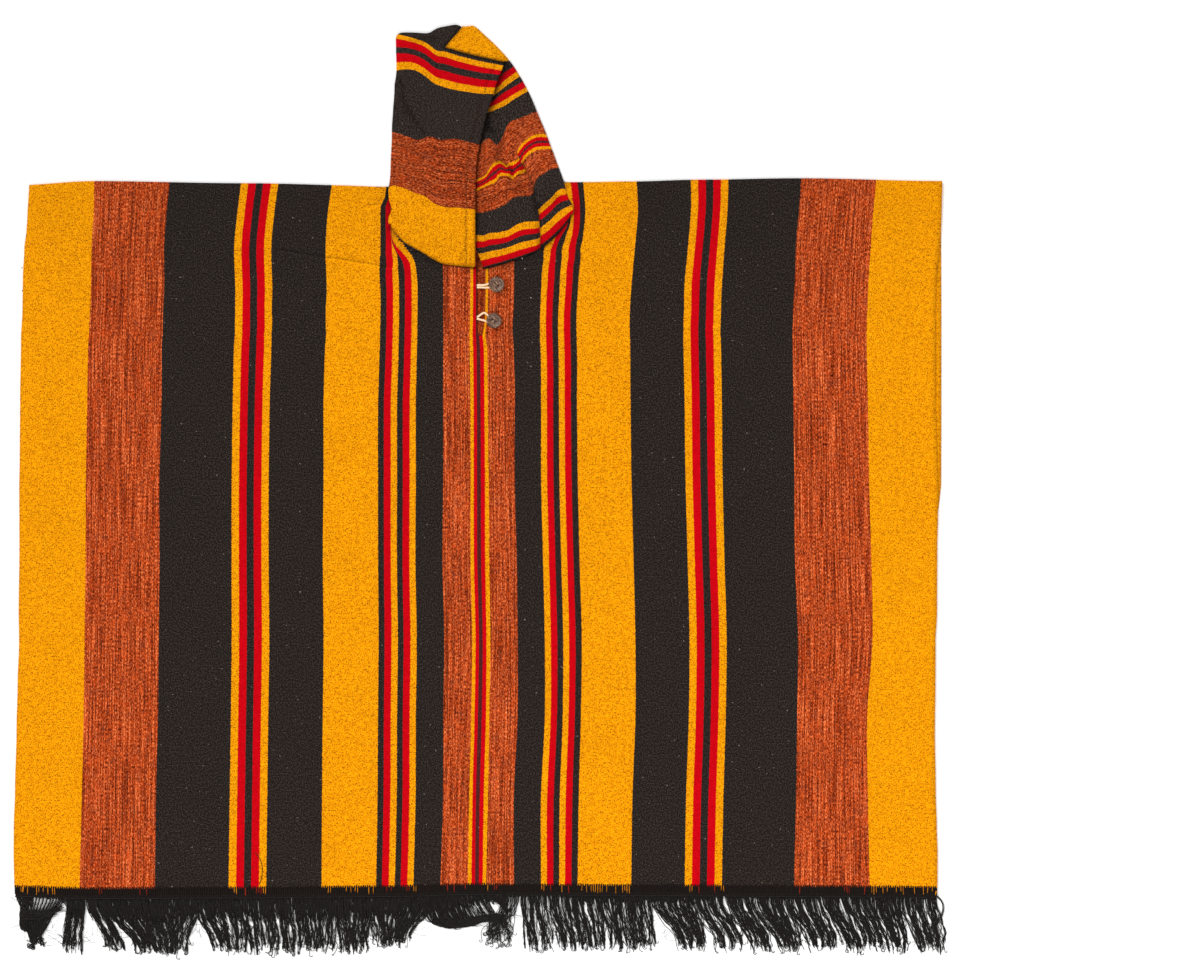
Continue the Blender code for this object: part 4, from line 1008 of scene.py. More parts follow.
def pleat_lines(outline):
    """Two lines just beside the right panel's step, so that its mesh steps sharply there."""
    vs = np.arange(STEP_TOP + 2, 246, 2.0)
    x, y = plan(curve_at(vs, *columns_of(STEP)), vs)
    lines = [np.stack([x + aside, y], axis=1) for aside in (-0.45, 0.45)]
    ring = ring_of(outline)
    return [line[inside_of(outline, *line.T) & (distance_to(ring, *line.T) > 1.5)] for line in lines]


def rolled_edge(inner, fold, tops, radius, start):
    """Rings of points round a panel's fold, from its upper sheet down, numbered from start. Beside the
    neck the cloth stops on the front of the body."""
    outward = fold - inner
    outward /= np.maximum(np.hypot(*outward.T), 1e-9)[:, None]
    below = shoulder_at(inner[:, 0]) + 2.0 - inner[:, 1]
    on_front = BACK_LEVEL + (FRONT_LEVEL + CLOTH + 0.15 - BACK_LEVEL) * np.minimum(1.0, below / 6.0)
    low = np.where(below > 0, on_front, BACK_LEVEL)
    rings = []
    for k in range(1, ROLL_STEPS + 1):
        turn = math.pi * k / ROLL_STEPS
        flat = inner + outward * radius * math.sin(turn)
        level = low + (tops - low) / 2 * (1 + math.cos(turn))
        rings.append(np.column_stack([flat, level]))
    numbers = start + np.arange(ROLL_STEPS * len(inner)).reshape(ROLL_STEPS, -1)
    return np.vstack(rings), numbers


def under_sheet(left, inner):
    """The sheet under a panel, from the shoulder line up: points in plan, and faces that face down."""
    under = inner[inner[:, 1] > shoulder_at(inner[:, 0]) + 2.0]
    seam = [(x + (-0.3 if left else 0.3), y) for x, y in UNDER_SEAM]
    xs = np.linspace(seam[-1][0], under[0 if left else -1][0], 12)[1:]
    closing = np.vstack([dense(seam, 5.0), np.stack([xs, shoulder_at(xs) + 1.2], axis=1)])
    flat, faces = fill(np.vstack([under, closing if left else closing[::-1]]), UNDER_MESH)
    return flat, turned(flat, faces, False)


def panel_uv(left, points, faces):
    """Cloth coordinates of a panel's face corners. Beyond the right panel's step its stripes start anew."""
    u, v = squares(points[:, 0], points[:, 1])
    if left:
        here = cell_at(boundaries(LEFT_CURVES, LEFT_GROUP, LEFT_SPAN), LEFT_BANDS, u, v)
        sources = [here] * len(faces)
    else:
        curves = {**MAIN_CURVES, **BEYOND_CURVES}
        here = cell_at(boundaries(MAIN_CURVES, MAIN_GROUP, MAIN_SPAN, NARROW_SHARES), RIGHT_BANDS, u, v)
        beyond = cell_at(boundaries(curves, BEYOND_GROUP, BEYOND_SPAN, NARROW_SHARES), RIGHT_BANDS, u, v)
        sources = []
        for face in faces:
            step_u = curve_at(np.mean(v[list(face)]), *columns_of(STEP))
            sources.append(beyond if np.mean(u[list(face)]) > step_u - 0.3 else here)
    return [(cells[i] / CELL_STEPS, points[i][0] * MM) for face, cells in zip(faces, sources) for i in face]


def hood_panel(side, finish):
    """A panel's upper sheet, the fold at its outline and the sheet under it, as one shell."""
    left = side == "left"
    fold, loop, edges = panel_lines(left)
    radius = (HOOD_LEVEL - BACK_LEVEL) / 2
    inner = inset(fold, -radius)
    outline = np.vstack([inner] + loop)
    # points that nearly repeat are dropped
    keep = np.hypot(*(outline - np.roll(outline, 1, axis=0)).T) > 0.8
    keep[:len(inner)] = True
    outline = outline[keep]
    flat, faces = fill(outline, PANEL_MESH, [] if left else pleat_lines(outline))
    faces = turned(flat, faces, True)
    x, y = flat.T
    z = panel_height(left, x, y, edges)
    rim = [int(np.argmin((x - px) ** 2 + (y - py) ** 2)) for px, py in inner]
    rolled, numbers = rolled_edge(inner, fold, z[rim], radius, len(flat))
    rings = np.vstack([rim, numbers])
    for a, b in zip(rings, rings[1:]):
        faces += [(a[i], b[i], b[i + 1], a[i + 1]) for i in range(len(a) - 1)]
    flat_under, faces_under = under_sheet(left, inner)
    start = len(flat) + len(rolled)
    faces += [tuple(start + i for i in face) for face in faces_under]
    under = np.column_stack([flat_under, np.full(len(flat_under), BACK_LEVEL)])
    points = np.vstack([np.column_stack([flat, z]), rolled, under])
    faces = [tuple(int(i) for i in face) for face in faces]
    shade = panel_shade(left, points[:, 0], points[:, 1], edges)
    shade[start:] = 0.0
    uv = panel_uv(left, points, faces)
    panel = add_mesh("hood_" + side + "_cloth", points, faces, finish, uv, shade=shade)
    build = bmesh.new()
    build.from_mesh(panel.data)
    bmesh.ops.remove_doubles(build, verts=build.verts, dist=0.05 * MM)
    bmesh.ops.recalc_face_normals(build, faces=build.faces)
    build.to_mesh(panel.data)
    build.free()
    wall(panel)
    return panel


def step_beside(x, y):
    """How far plan points lie beyond the right panel's step, and how much of the step has grown there."""
    u, v = squares(x, y)
    return (u - curve_at(v, *columns_of(STEP))) * SQUARE, ease((v - STEP_TOP) / STEP_GROWTH)


def panel_height(left, x, y, edges):
    """Middle height of a panel's upper sheet."""
    to_front, to_neck, to_crown = (distance_to(line, x, y) for line in edges)
    z = HOOD_LEVEL + 0.25 * np.sin(x / 19 + y / 31) + 0.25 * np.sin(y / 23 - x / 41)
    if left:
        below_crown = 1 - ease((y - 150) / 22)
        lift = 1 - ease((to_front - 6) / 24)
        z += FRONT_LIFT * lift * below_crown
        z += POUCH * ease((12 - y) / 50) * ease(to_neck / 24) * (1 - 0.5 * lift)
        z += CREASE_DEPTH * fold_height(x, y, LEFT_CREASES) * ease(to_neck / 10)
        z += 0.5 * np.exp(-((to_front - 4.5) / 3.5) ** 4)
        z -= 0.8 * near(to_front - HEM_STITCH, 2.0) * ease((150 - y) / 20)
        z += 1.2 * near(to_front, 6.0) * near(y - 128, 30)
    else:
        beside, grown = step_beside(x, y)
        held = ease((to_front - 12) / 8)
        up = ease(0.5 + beside / 1.4)
        z += STEP_RISE * grown * up * (1 - ease((beside - 3) / STEP_SETTLE)) * ease(to_neck / 6 + 0.2)
        z += 0.8 * grown * near(beside - 2.6, 2.2) - 0.9 * grown * near(beside + 2.4, 3.0)
        z += CREASE_DEPTH * fold_height(x, y, RIGHT_CREASES) * ease(to_neck / 8) * held
        z += 0.9 * ease(to_neck / 10) * (1 - ease(to_neck / 44)) * held
    # down into the seams at the neck and the crown, with a swell beside the crown's
    return z - 1.3 * near(to_neck, 3.0) - 1.7 * near(to_crown, 2.2) + near(to_crown - 6.5, 4.0)


def panel_shade(left, x, y, edges):
    """Painted shade down in a panel's seams, under its folds and edges, along its stitches and puckers
    and in its crease troughs, with a painted highlight on the crease ridges.
    """
    to_front, to_neck, to_crown = (distance_to(line, x, y) for line in edges)
    creases = fold_height(x, y, LEFT_CREASES if left else RIGHT_CREASES)
    shade = 0.55 * near(to_crown, 2.0) + 0.45 * near(to_neck, 2.4)
    if left:
        # painted shade along the line of stitches and at the front edge, and a slight even darkening
        shade += 0.30 * near(to_front - HEM_STITCH, 1.5) + 0.12 * near(to_front, 1.2) + 0.06
        # painted shade lines of the hem's puckers
        for *ends, wide, deep in PUCKER_SHADE:
            shade += deep * near(distance_to(plan_line(ends), x, y), wide)
    else:
        # painted shade on the near side of the pleat's step
        beside, grown = step_beside(x, y)
        under = np.where(beside < 1.0, near(beside, 5.5), near(beside, 1.2))
        shade += 0.45 * grown * under * ease(to_neck / 6)
        # painted shadow of the left panel's front edge on the right panel, narrow and broad, and a slight
        # even darkening
        beside_edge = distance_to(plan_line(LEFT_FRONT), x, y)
        reach = 3.2 + 3.6 * ease((y - 40) / 70)
        shade += 0.72 * near(beside_edge, reach) + 0.16 * near(beside_edge, 20) + 0.05
    # painted shade in the crease troughs, and a painted highlight on the ridges
    shade += 0.42 * np.clip(-creases, 0, 1) - 0.2 * np.clip(creases - 0.4, 0, 1)
    return np.clip(shade, -0.25, 0.75)


# ---------------------------------------------------------------- threads and cords

def sides_of(route):
    """At each point of a 3-D route, the level direction across it and the one square to both."""
    along = np.gradient(route, axis=0)
    along /= np.maximum(np.linalg.norm(along, axis=1), 1e-9)[:, None]
    side = np.cross(along, [0.0, 0.0, 1.0])
    side[np.linalg.norm(side, axis=1) < 0.05] = [1.0, 0.0, 0.0]
    side /= np.linalg.norm(side, axis=1)[:, None]
    return side, np.cross(side, along)


def tube_faces(start, rings, sides):
    """Faces of a closed tube whose rings of points are numbered on from start."""
    faces = []
    for at in range(start, start + (rings - 1) * sides, sides):
        faces += [(at + k, at + (k + 1) % sides, at + sides + (k + 1) % sides, at + sides + k)
                  for k in range(sides)]
    last = start + (rings - 1) * sides
    return faces + [tuple(range(start, start + sides))[::-1], tuple(range(last, last + sides))]


def tubes(routes, sizes, sides=3, taper=0.6):
    """Joined tubes along routes of points in millimetres, one radius a route, as points and faces."""
    points, faces = [], []
    turns = (math.tau * np.arange(sides) / sides + 0.5)[None, :, None]
    for route, size in zip(routes, sizes):
        route = np.asarray(route, float)
        side, lift = sides_of(route)
        radii = np.full((len(route), 1, 1), float(size))
        radii[-1] *= taper
        rings = route[:, None] + radii * (np.cos(turns) * side[:, None] + np.sin(turns) * lift[:, None])
        faces += tube_faces(len(points), len(route), sides)
        points += [tuple(point) for point in rings.reshape(-1, 3)]
    return points, faces


# Clumps of the fringe: where their threads leave the header and where they end (left and right),
# how far they hang, the share of that before they narrow, the share at which they are narrowest, and
# half their width there.
CLUMPS = [
    (-580, -552, -581, -560, 78, 0.35, 0.85, 10), (-551, -524, -524, -497, 73, 0.35, 0.85, 12),
    (-523, -462, -482, -444, 78, 0.35, 0.9, 18), (-461, -399, -444, -412, 80, 0.35, 0.85, 16),
    (-398, -337, -374, -330, 77, 0.4, 0.9, 24), (-336, -263, -328, -256, 79, 0.4, 0.9, 36),
    (-262, -202, -255, -204, 78, 0.4, 0.9, 27), (-201, -152, -193, -155, 79, 0.4, 0.85, 20),
    (-151, -70, -142, -99, 71, 0.35, 0.9, 21),
    (59, 95, 65, 103, 78, 0.35, 0.9, 19), (96, 171, 112, 182, 77, 0.35, 0.9, 35),
    (171, 241, 184, 248, 76, 0.35, 0.9, 32), (242, 300, 281, 317, 75, 0.3, 0.9, 20),
    (301, 344, 335, 371, 77, 0.3, 0.9, 19), (345, 380, 380, 408, 78, 0.3, 0.9, 15),
    (381, 432, 420, 450, 78, 0.3, 0.9, 17), (433, 480, 462, 503, 77, 0.3, 0.9, 21),
    (481, 520, 512, 544, 78, 0.3, 0.9, 17), (521, 550, 550, 569, 76, 0.3, 0.9, 11),
    (551, 592, 577, 600, 78, 0.3, 0.9, 13), (593, 643, 620, 648, 78, 0.3, 0.85, 17),
]
# The gathered clump at the left end: y, and its left and right edge there.
GATHERED = [(-994, -648, -578), (-1004, -647, -582), (-1017, -646.5, -592), (-1026, -645.5, -600),
            (-1036, -642, -605), (-1045, -635, -610.5), (-1050, -632.5, -613), (-1060, -634, -611),
            (-1071, -636.5, -608)]
HEADER = 14.0                            # depth of the header tape below the hem
HEADER_PROFILE = [(0.4, 0.55), (3.0, 0.75), (7.0, 0.7), (11.0, 0.75), (HEADER, 0.3)]    # down, and up
HEADER_STITCHES = [(9.4, 0.6), (13.2, 0.9)]      # how far down each row of stitches lies, its radius
BUNDLE = 4.8                             # width of hem whose threads hang together as one bundle
TUCK = 3.0                               # how far a thread starts up behind the header
FLOOR = 0.7                              # the lowest middle height of a thread
BARE_END = 8.0                           # no loose fibres lie between SWEPT_START and this x
# How deep the close rows of thread reach under the header, along x.
ROOT_DEPTH = [(-650, 26), (-636, 24), (-628, 5), (-592, 5), (-578, 26), (-560, 34), (-100, 34), (-66, 30),
              (-30, 20), (0, 16), (33, 14), (40, 6), (58, 5), (128, 5), (137, 18), (158, 18), (166, 6),
              (186, 11), (310, 13), (324, 6), (643, 6)]
# The swept threads leave the header from SWEPT_START to SWEPT_END, run along their band and end at
# its knot. From SWEPT_GAP on the floor shows above the band, and the threads there lie further apart.
SWEPT_START, SWEPT_GAP, SWEPT_END = -86.0, -27.0, 33.0
KNOT_X, LAST_JOIN = 30.0, 24.0           # no thread joins the band beyond LAST_JOIN
FALLEN_END = 58.0                        # the threads from SWEPT_END to here fall over the knot
# The band itself: x, its lower edge, its thickness.
SWEPT_BAND = [(-78, -1030, 34), (-65, -1034, 36), (-48, -1039, 38), (-38, -1041.5, 36), (-27, -1040, 24),
              (-12, -1037.5, 20), (8, -1032, 12), (30, -1028.5, 8)]
FIRST_TOOTH, TEETH_APART = -650.5, 3.15  # the overlock's leftmost stitch, and the next one's distance
HEM_END = 643.0                          # where the hem's trims end at the right
# Ends of the cloth's yarn at the hem, as (from u, to u, how many), and tufts at the hem's corners, as
# (u, up, down, radius).
YELLOW_ENDS = [(17, 60, 9), (230, 236, 2), (262, 267, 2), (325, 375, 8), (410, 415, 2), (485, 487, 1),
               (541, 547, 3), (560, 565, 2), (580, 632, 22), (688, 692, 2), (716, 722, 2), (870, 935, 12)]
RED_ENDS = [(82, 152, 4), (240, 246, 3), (254, 261, 3), (384, 390, 2), (403, 408, 2), (445, 466, 3),
            (488, 512, 4), (548, 553, 2), (566, 571, 3), (694, 699, 2), (708, 714, 2), (798, 866, 5)]
CORNER_TUFTS = [(24.0, 3.5, 7.0, 1.0), (935.4, -4.0, 10.0, 0.9)]


def hem_at(x):
    """y of the hem."""
    return float(steps_at(x, ENDS, 2))


def strand(line, level, drop, rnd, sway=1.4, curls=0.55):
    """A thread along a plan line: it waves, sinks towards the floor, and may end in a curl."""
    line = np.asarray(line, float)
    run = np.concatenate([[0], np.cumsum(np.hypot(*np.diff(line, axis=0).T))])
    share = run / run[-1]
    turn = rnd.uniform(0, math.tau) + math.tau * run / rnd.uniform(20, 40)
    wide = sway * rnd.uniform(0.35, 1.0) * ease((share - 0.08) / 0.35)
    line = line + (wide * np.sin(turn))[:, None] * leftward(line)
    z = np.maximum(FLOOR, level - drop * share + 0.5 * np.cos(turn))
    route = [(x, y, h) for (x, y), h in zip(line, z)]
    if rnd.random() < curls:
        (x0, y0), (x, y) = line[-2], line[-1]
        heading = math.atan2(y - y0, x - x0)
        bend = rnd.choice((-1, 1)) * rnd.uniform(0.45, 1.15)
        step = rnd.uniform(1.3, 2.2)
        for _ in range(4):
            heading += bend
            x, y = x + step * math.cos(heading), y + step * math.sin(heading)
            route.append((x, y, float(z[-1])))
    return route


def clump_x(clump, place, share):
    """Where a thread of a clump lies: place runs from -1 to 1 over the clump, share down its fall."""
    root_a, root_b, tip_a, tip_b, _, rooted, waist_at, waist = clump
    half, tip_half = (root_b - root_a) / 2, (tip_b - tip_a) / 2
    if share < waist_at:
        wide = half + (waist - half) * float(ease((share - rooted) / (waist_at - rooted)))
    else:
        wide = waist + (tip_half - waist) * float(ease((share - waist_at) / (1 - waist_at)))
    lean = float(ease((share - 0.3 * rooted) / 0.9))
    return (root_a + root_b) / 2 * (1 - lean) + (tip_a + tip_b) / 2 * lean + place * wide


def bundle_edges(start, end, alike):
    """Edges of uneven bundles of threads along a stretch of hem."""
    count = max(2, round((end - start) / BUNDLE))
    steps = np.array([alike.uniform(0.55, 1.45) for _ in range(count)])
    return start + (end - start) * np.concatenate([[0.0], np.cumsum(steps)]) / steps.sum()


def clump_threads(front, rnd):
    """Threads of every hanging clump, in uneven bundles. The front's upper ones lie as the back's do."""
    rows = [(BACK_LEVEL + 0.2, 2.0, 40)]
    if front:
        rows = [(FRONT_LEVEL + 0.3, 1.45, 40), (FRONT_LEVEL - 0.9, 1.85, 140)]
    drawn = []
    for level, spacing, seed in rows:
        drop = level - 1.2 if front else 0.1
        for number, clump in enumerate(CLUMPS):
            alike = random.Random(number + seed)
            middle, half = (clump[0] + clump[1]) / 2, (clump[1] - clump[0]) / 2
            edges = bundle_edges(clump[0], clump[1], alike)
            for left, right in zip(edges[:-1], edges[1:]):
                wide, place = (right - left) / 2, ((left + right) / 2 - middle) / half
                aside, own = alike.uniform(-4.5, 4.5), clump[4] * alike.uniform(0.86, 1.02)
                bow, wave = alike.uniform(-2.6, 2.6), alike.uniform(-2.2, 2.2)
                slim, start = wide * alike.uniform(0.3, 0.8), alike.uniform(0.02, 0.3)
                base = hem_at((left + right) / 2) - HEADER + TUCK
                count = max(2, round(2 * wide / spacing))
                for j in range(count):
                    inner = -1 + (2 * j + 1 + rnd.uniform(-0.5, 0.5)) / count
                    free = rnd.random() < 0.3
                    stray = rnd.uniform(-8, 8) if free else rnd.uniform(-0.8, 0.8)
                    length = own * (rnd.uniform(0.7, 1.04) if free else rnd.uniform(0.86, 1.0))
                    line = []
                    for t in np.linspace(0, 1, 12):
                        close = float(ease((t - start) / 0.4))
                        spread = wide * (1 - close) + slim * close * (1 - 0.5 * t)
                        x = clump_x(clump, place, t) + inner * spread
                        x += bow * math.sin(math.pi * t) + wave * math.sin(math.tau * t)
                        x += aside * float(ease(t)) + stray * float(ease((t - 0.15) / 0.85))
                        line.append((x, base - (length + TUCK + 2) * t))
                    sway, curls = (3.4, 0.5) if free else (1.4, 0.1)
                    route = strand(line, level + rnd.uniform(-0.5, 0.5), drop, rnd, sway, curls)
                    drawn.append((route, rnd.uniform(0.42, 0.55) if free else rnd.uniform(0.48, 0.7)))
    return drawn


def gathered_threads(front, rnd):
    """The left end's threads, drawn together to a narrow neck with others wound across above it."""
    level = (FRONT_LEVEL if front else BACK_LEVEL) + 0.2
    drop = level - 1.2 if front else 0.1
    alike = random.Random(70)
    first, width = -650, 70
    ys, lefts, rights = columns_of(GATHERED)
    edges = bundle_edges(first, first + width, alike)
    drawn = []
    for left, right in zip(edges[:-1], edges[1:]):
        place, wide = ((left + right) / 2 - first) / width, (right - left) / 2
        bow, tip, own = alike.uniform(-0.8, 0.8), alike.uniform(-0.1, 1.1), alike.uniform(-1071, -1060)
        for _ in range(max(3, round(2 * wide / (1.15 if front else 1.6)))):
            inner = rnd.uniform(-1, 1) * wide
            foot = own + rnd.uniform(0, 5)
            line = []
            for y in np.linspace(ys[0], foot, 14):
                down = (y - ys[0]) / (ys[-1] - ys[0])
                share = place + (tip - place) * float(ease((down - 0.7) / 0.3))
                a, b = np.interp(-y, -ys, lefts), np.interp(-y, -ys, rights)
                spread = np.interp(down, (0.0, 0.06, 0.27, 0.38, 0.75, 1.0), (0.9, 0.2, 0.25, 0.8, 0.5, 0.1))
                line.append((a + (b - a) * share + inner * spread + bow * math.sin(math.pi * down), y))
            route = strand(line, level + rnd.uniform(-0.7, 0.5), drop, rnd, 0.8, 0.3)
            drawn.append((route, rnd.uniform(0.5, 0.72)))
    for _ in range(38 if front else 8):
        share = rnd.random()
        y = -1013 - 15 * share
        right = float(np.interp(-y, -ys, rights)) + rnd.uniform(-3, 8)
        line = [(right, y + rnd.uniform(2, 6)), (right - 14, y - 1), (-622, y - 3.5), (-638, y - 3),
                (-644.5, y - 8), (-641, y - 17), (-632, y - 27 + 10 * share)]
        route = strand(dense(line, 6.0), level + rnd.uniform(0, 0.7), 1.0, rnd, 0.8, 0.2)
        drawn.append((route, rnd.uniform(0.42, 0.6)))
    return drawn


def swept_threads(front, rnd):
    """Threads brushed sideways into a band under the header. Some hang down at its right end."""
    level, drop = (FRONT_LEVEL, 1.4) if front else (BACK_LEVEL + 0.2, 0.1)
    close = np.linspace(SWEPT_START, SWEPT_GAP, 96 if front else 30)
    apart = np.linspace(SWEPT_GAP + 1, SWEPT_END + 1, 50 if front else 16)
    xs, lows, thick = columns_of(SWEPT_BAND)
    drawn = []
    for root in np.concatenate([close, apart]):
        root += rnd.uniform(-0.8, 0.8)
        share = (root - SWEPT_START) / (SWEPT_END - SWEPT_START)
        lane = min(1.0, max(0.0, share ** 0.9 + rnd.uniform(-0.12, 0.12)))

        def lane_y(x, lane=lane):
            return float(np.interp(x, xs, lows) + lane * np.interp(x, xs, thick))

        base = hem_at(root) - HEADER
        join = root + 13 + rnd.uniform(0, 8)
        line = [(root, base + TUCK), (root + 1.5, base - 4)]
        knot_x = KNOT_X + 9 * lane + rnd.uniform(-2, 2)
        if join < LAST_JOIN:
            line += [((root + join) / 2 + 1, (base + lane_y(join)) / 2 - 3)]
            line += [(x, lane_y(x) + rnd.uniform(-0.6, 0.6)) for x in np.arange(join, LAST_JOIN + 2, 9.0)]
            line += [(knot_x - 3, lane_y(KNOT_X) - 3), (knot_x, lane_y(KNOT_X) - 8)]
        else:
            line += [(root + (knot_x - root) * 0.6, base - 11), (knot_x, base - 22)]
        hangs = rnd.random() < 0.15
        if hangs:
            tip = 8 + 42 * rnd.random()
            foot = base - rnd.uniform(44, 74)
            x, y = line[-1]
            aside = rnd.uniform(-7, 7)
            line += [(x + (tip - x) * 0.35 + aside, y + (foot - y) * 0.4),
                     (x + (tip - x) * 0.8 + aside, y + (foot - y) * 0.75), (tip, foot)]
        elif join < LAST_JOIN:
            line = line[:-rnd.choice((1, 2, 3))]
        sway, curls = (2.4, 0.9) if hangs else (0.8, 0.2)
        route = strand(dense(line, 6.0), level + rnd.uniform(-0.6, 0.7), drop, rnd, sway, curls)
        drawn.append((route, rnd.uniform(0.42, 0.66)))
    for root in np.arange(SWEPT_END, FALLEN_END, 1.5 if front else 2.6):
        base = hem_at(root) - HEADER + TUCK
        foot, tip = base - rnd.uniform(52, 76), root - 20 + rnd.uniform(-10, 9)
        bow = rnd.uniform(-5, 5)
        line = [(root, base), (root - 2, base - 14), (root - 9 + bow, base - 30), (tip + bow, foot + 18),
                (tip, foot)]
        route = strand(dense(line, 6.0), level + rnd.uniform(-0.5, 0.5), drop, rnd, 2.0, 0.8)
        drawn.append((route, rnd.uniform(0.42, 0.62)))
    return drawn


def root_threads(front, rnd):
    """The close rows of thread just under the header, that hide the floor there."""
    level = FRONT_LEVEL if front else BACK_LEVEL
    drawn = []
    for row in range(2 if front else 1):
        for root in np.arange(-650, HEM_END, 1.7 if front else 3.0):
            root += rnd.uniform(-0.7, 0.7)
            long = float(np.interp(root, *columns_of(ROOT_DEPTH))) * rnd.uniform(0.55, 1.12)
            clump = next((c for c in CLUMPS if c[0] <= root <= c[1]), None)
            base = hem_at(root) - HEADER + TUCK
            bow = rnd.uniform(-1.6, 1.6)
            line = []
            for t in (0.0, 0.33, 0.67, 1.0):
                x = root + 0.45 * long * t
                if clump:
                    place = 2 * (root - clump[0]) / (clump[1] - clump[0]) - 1
                    x = clump_x(clump, place, t * long / clump[4])
                line.append((x + bow * math.sin(math.pi * t), base - long * t, level - 0.5 * row - 0.3 * t))
            drawn.append((line, rnd.uniform(0.5, 0.8)))
    return drawn


def corner_threads(rnd):
    """Three threads that bow out round the front's right corner."""
    drawn = []
    for out in (0.0, -1.3, -2.2):
        line = [(643 + out, hem_at(640) - HEADER + 2), (648 + out, hem_at(640) - HEADER - 1.5),
                (652.4 + out, -1008 - out), (652.6 + out, -1018), (648 + out, -1029), (641, -1039)]
        drawn.append((strand(dense(line, 5.0), FRONT_LEVEL, 1.5, rnd, 0.3, 0.0), 0.55))
    return drawn


def loose_fibres(count, rnd, inside):
    """Single fine fibres: through the threads when inside, else curling out onto the floor."""
    drawn = []
    while len(drawn) < count:
        x = rnd.uniform(-640, 634)
        if SWEPT_START + 1 < x < BARE_END:
            continue
        base = hem_at(x) - HEADER
        y = base - (rnd.uniform(4, 58) if inside else rnd.uniform(28, 62))
        heading, curl = rnd.uniform(-2.8, -0.3), rnd.uniform(-0.3, 0.3)
        route = []
        for i in range(8):
            route.append((x, y, 1.6 + 1.2 * math.sin(i * 0.7)))
            x += 3.4 * math.cos(heading)
            y += 3.4 * math.sin(heading) * 0.7
            heading += curl
        if min(point[1] for point in route) > base - (68 if inside else 80):
            drawn.append((route, 0.2))
    return drawn


def header_stitches():
    """The rows of stitches along the front's header."""
    drawn = []
    for row, (down, size) in enumerate(HEADER_STITCHES):
        route = []
        for i, x in enumerate(np.arange(-651, 645, 3.2)):
            y = hem_at(x) - down + 0.3 * math.sin(i * 2.4 + row)
            route.append((x, y, FRONT_LEVEL + 1.0 + 0.25 * (i % 2)))
        drawn.append((route, size))
    return drawn


def make_fringe(layer, finish, seed):
    """The threads of one hem, with the stitches along the front's header."""
    rnd = random.Random(seed)
    front = layer == "front"
    drawn = []
    for part in (clump_threads, gathered_threads, swept_threads, root_threads):
        drawn += part(front, rnd)
    if front:
        drawn += corner_threads(rnd) + loose_fibres(420, rnd, True) + loose_fibres(60, rnd, False)
        drawn += header_stitches()
    else:
        drawn += loose_fibres(16, rnd, False)
    return add_mesh("fringe_" + layer + "_threads", *tubes(*zip(*drawn), 3, 1.0), finish)


def make_header(layer, finish):
    """The ribbed black tape between the hem and the threads."""
    level = FRONT_LEVEL if layer == "front" else BACK_LEVEL
    xs = np.arange(FIRST_TOOTH, HEM_END + 0.5, 1.15)
    points = []
    for i, x in enumerate(xs):
        rib = 0.175 if i % 2 else -0.05
        hem = hem_at(x)
        points += [(x, hem - down, level + lift + rib) for down, lift in HEADER_PROFILE]
        points += [(x, hem - HEADER, level - 0.5), (x, hem - 0.4, level - 0.75)]
    faces = tube_faces(0, len(xs), len(HEADER_PROFILE) + 2)
    return add_mesh("fringe_" + layer + "_header", points, faces, finish, smooth=False)


def make_teeth(finish):
    """Overlock stitches over the front's hem."""
    rnd = random.Random(5)
    routes, sizes = [], []
    for x in np.arange(FIRST_TOOTH, HEM_END, TEETH_APART):
        hem = hem_at(x)
        reach = rnd.uniform(2.0, 3.3)
        lean = rnd.uniform(-0.4, 0.4)
        routes.append([(x, hem - 9.5, FRONT_TOP + 0.1), (x, hem - 4.0, FRONT_TOP + 0.35),
                       (x + lean * 0.3, hem - 0.3, FRONT_TOP + 0.6),
                       (x + lean, hem + reach * 0.7, FRONT_TOP + 0.5),
                       (x + lean * 1.2, hem + reach, FRONT_TOP)])
        sizes.append(rnd.uniform(1.0, 1.25))
    return add_mesh("hem_overlock", *tubes(routes, sizes, 4, 0.5), finish)


def make_thread_ends(finish, spans, name, seed, tufts=()):
    """Ends of the cloth's own yarn between the teeth, some with a tuft at the foot."""
    rnd = random.Random(seed)
    routes, sizes = [], []
    z = FRONT_TOP + 0.7
    for u0, u1, count in spans:
        for _ in range(count):
            gap = round(((rnd.uniform(u0, u1) - CENTRE_U) * SQUARE - FIRST_TOOTH) / TEETH_APART)
            x = FIRST_TOOTH + (gap + 0.5) * TEETH_APART
            hem = hem_at(x)
            reach = rnd.uniform(5.0, 9.5)
            lean = rnd.uniform(-0.5, 0.5)
            routes.append([(x, hem + 1.5, z - 0.3), (x, hem - 1.5, z + 0.2),
                           (x + lean * 0.5, hem - reach * 0.6, z), (x + lean, hem - reach, z)])
            sizes.append(rnd.uniform(0.26, 0.5))
            if rnd.random() < 0.25:
                routes.append([(x + lean, hem - reach + 0.4, z), (x + lean, hem - reach - 1.3, z + 0.1)])
                sizes.append(rnd.uniform(0.4, 0.6))
    for u, above, below, size in tufts:
        x = (u - CENTRE_U) * SQUARE
        hem = hem_at(x)
        routes.append([(x + 0.6, hem + above, z + 0.5), (x, hem + (above - below) / 2, z + 0.9),
                       (x - 0.6, hem - below, z + 0.4)])
        sizes.append(size)
    return add_mesh(name, *tubes(routes, sizes), finish)


# ---------------------------------------------------------------- buttons, loops and small stitches

BUTTONS = {"upper": (25.0, -137.5, 22.0), "lower": (21.5, -188.3, 21.4)}      # x, y, diameter
BUTTON_UNDER = 8.0                       # height of a button's underside
BUTTON_SIDES, BUTTON_HOLES = 56, 2.4     # the holes' distance from the middle
HOLE_RADIUS, HOLE_SIDES = 1.5, 20
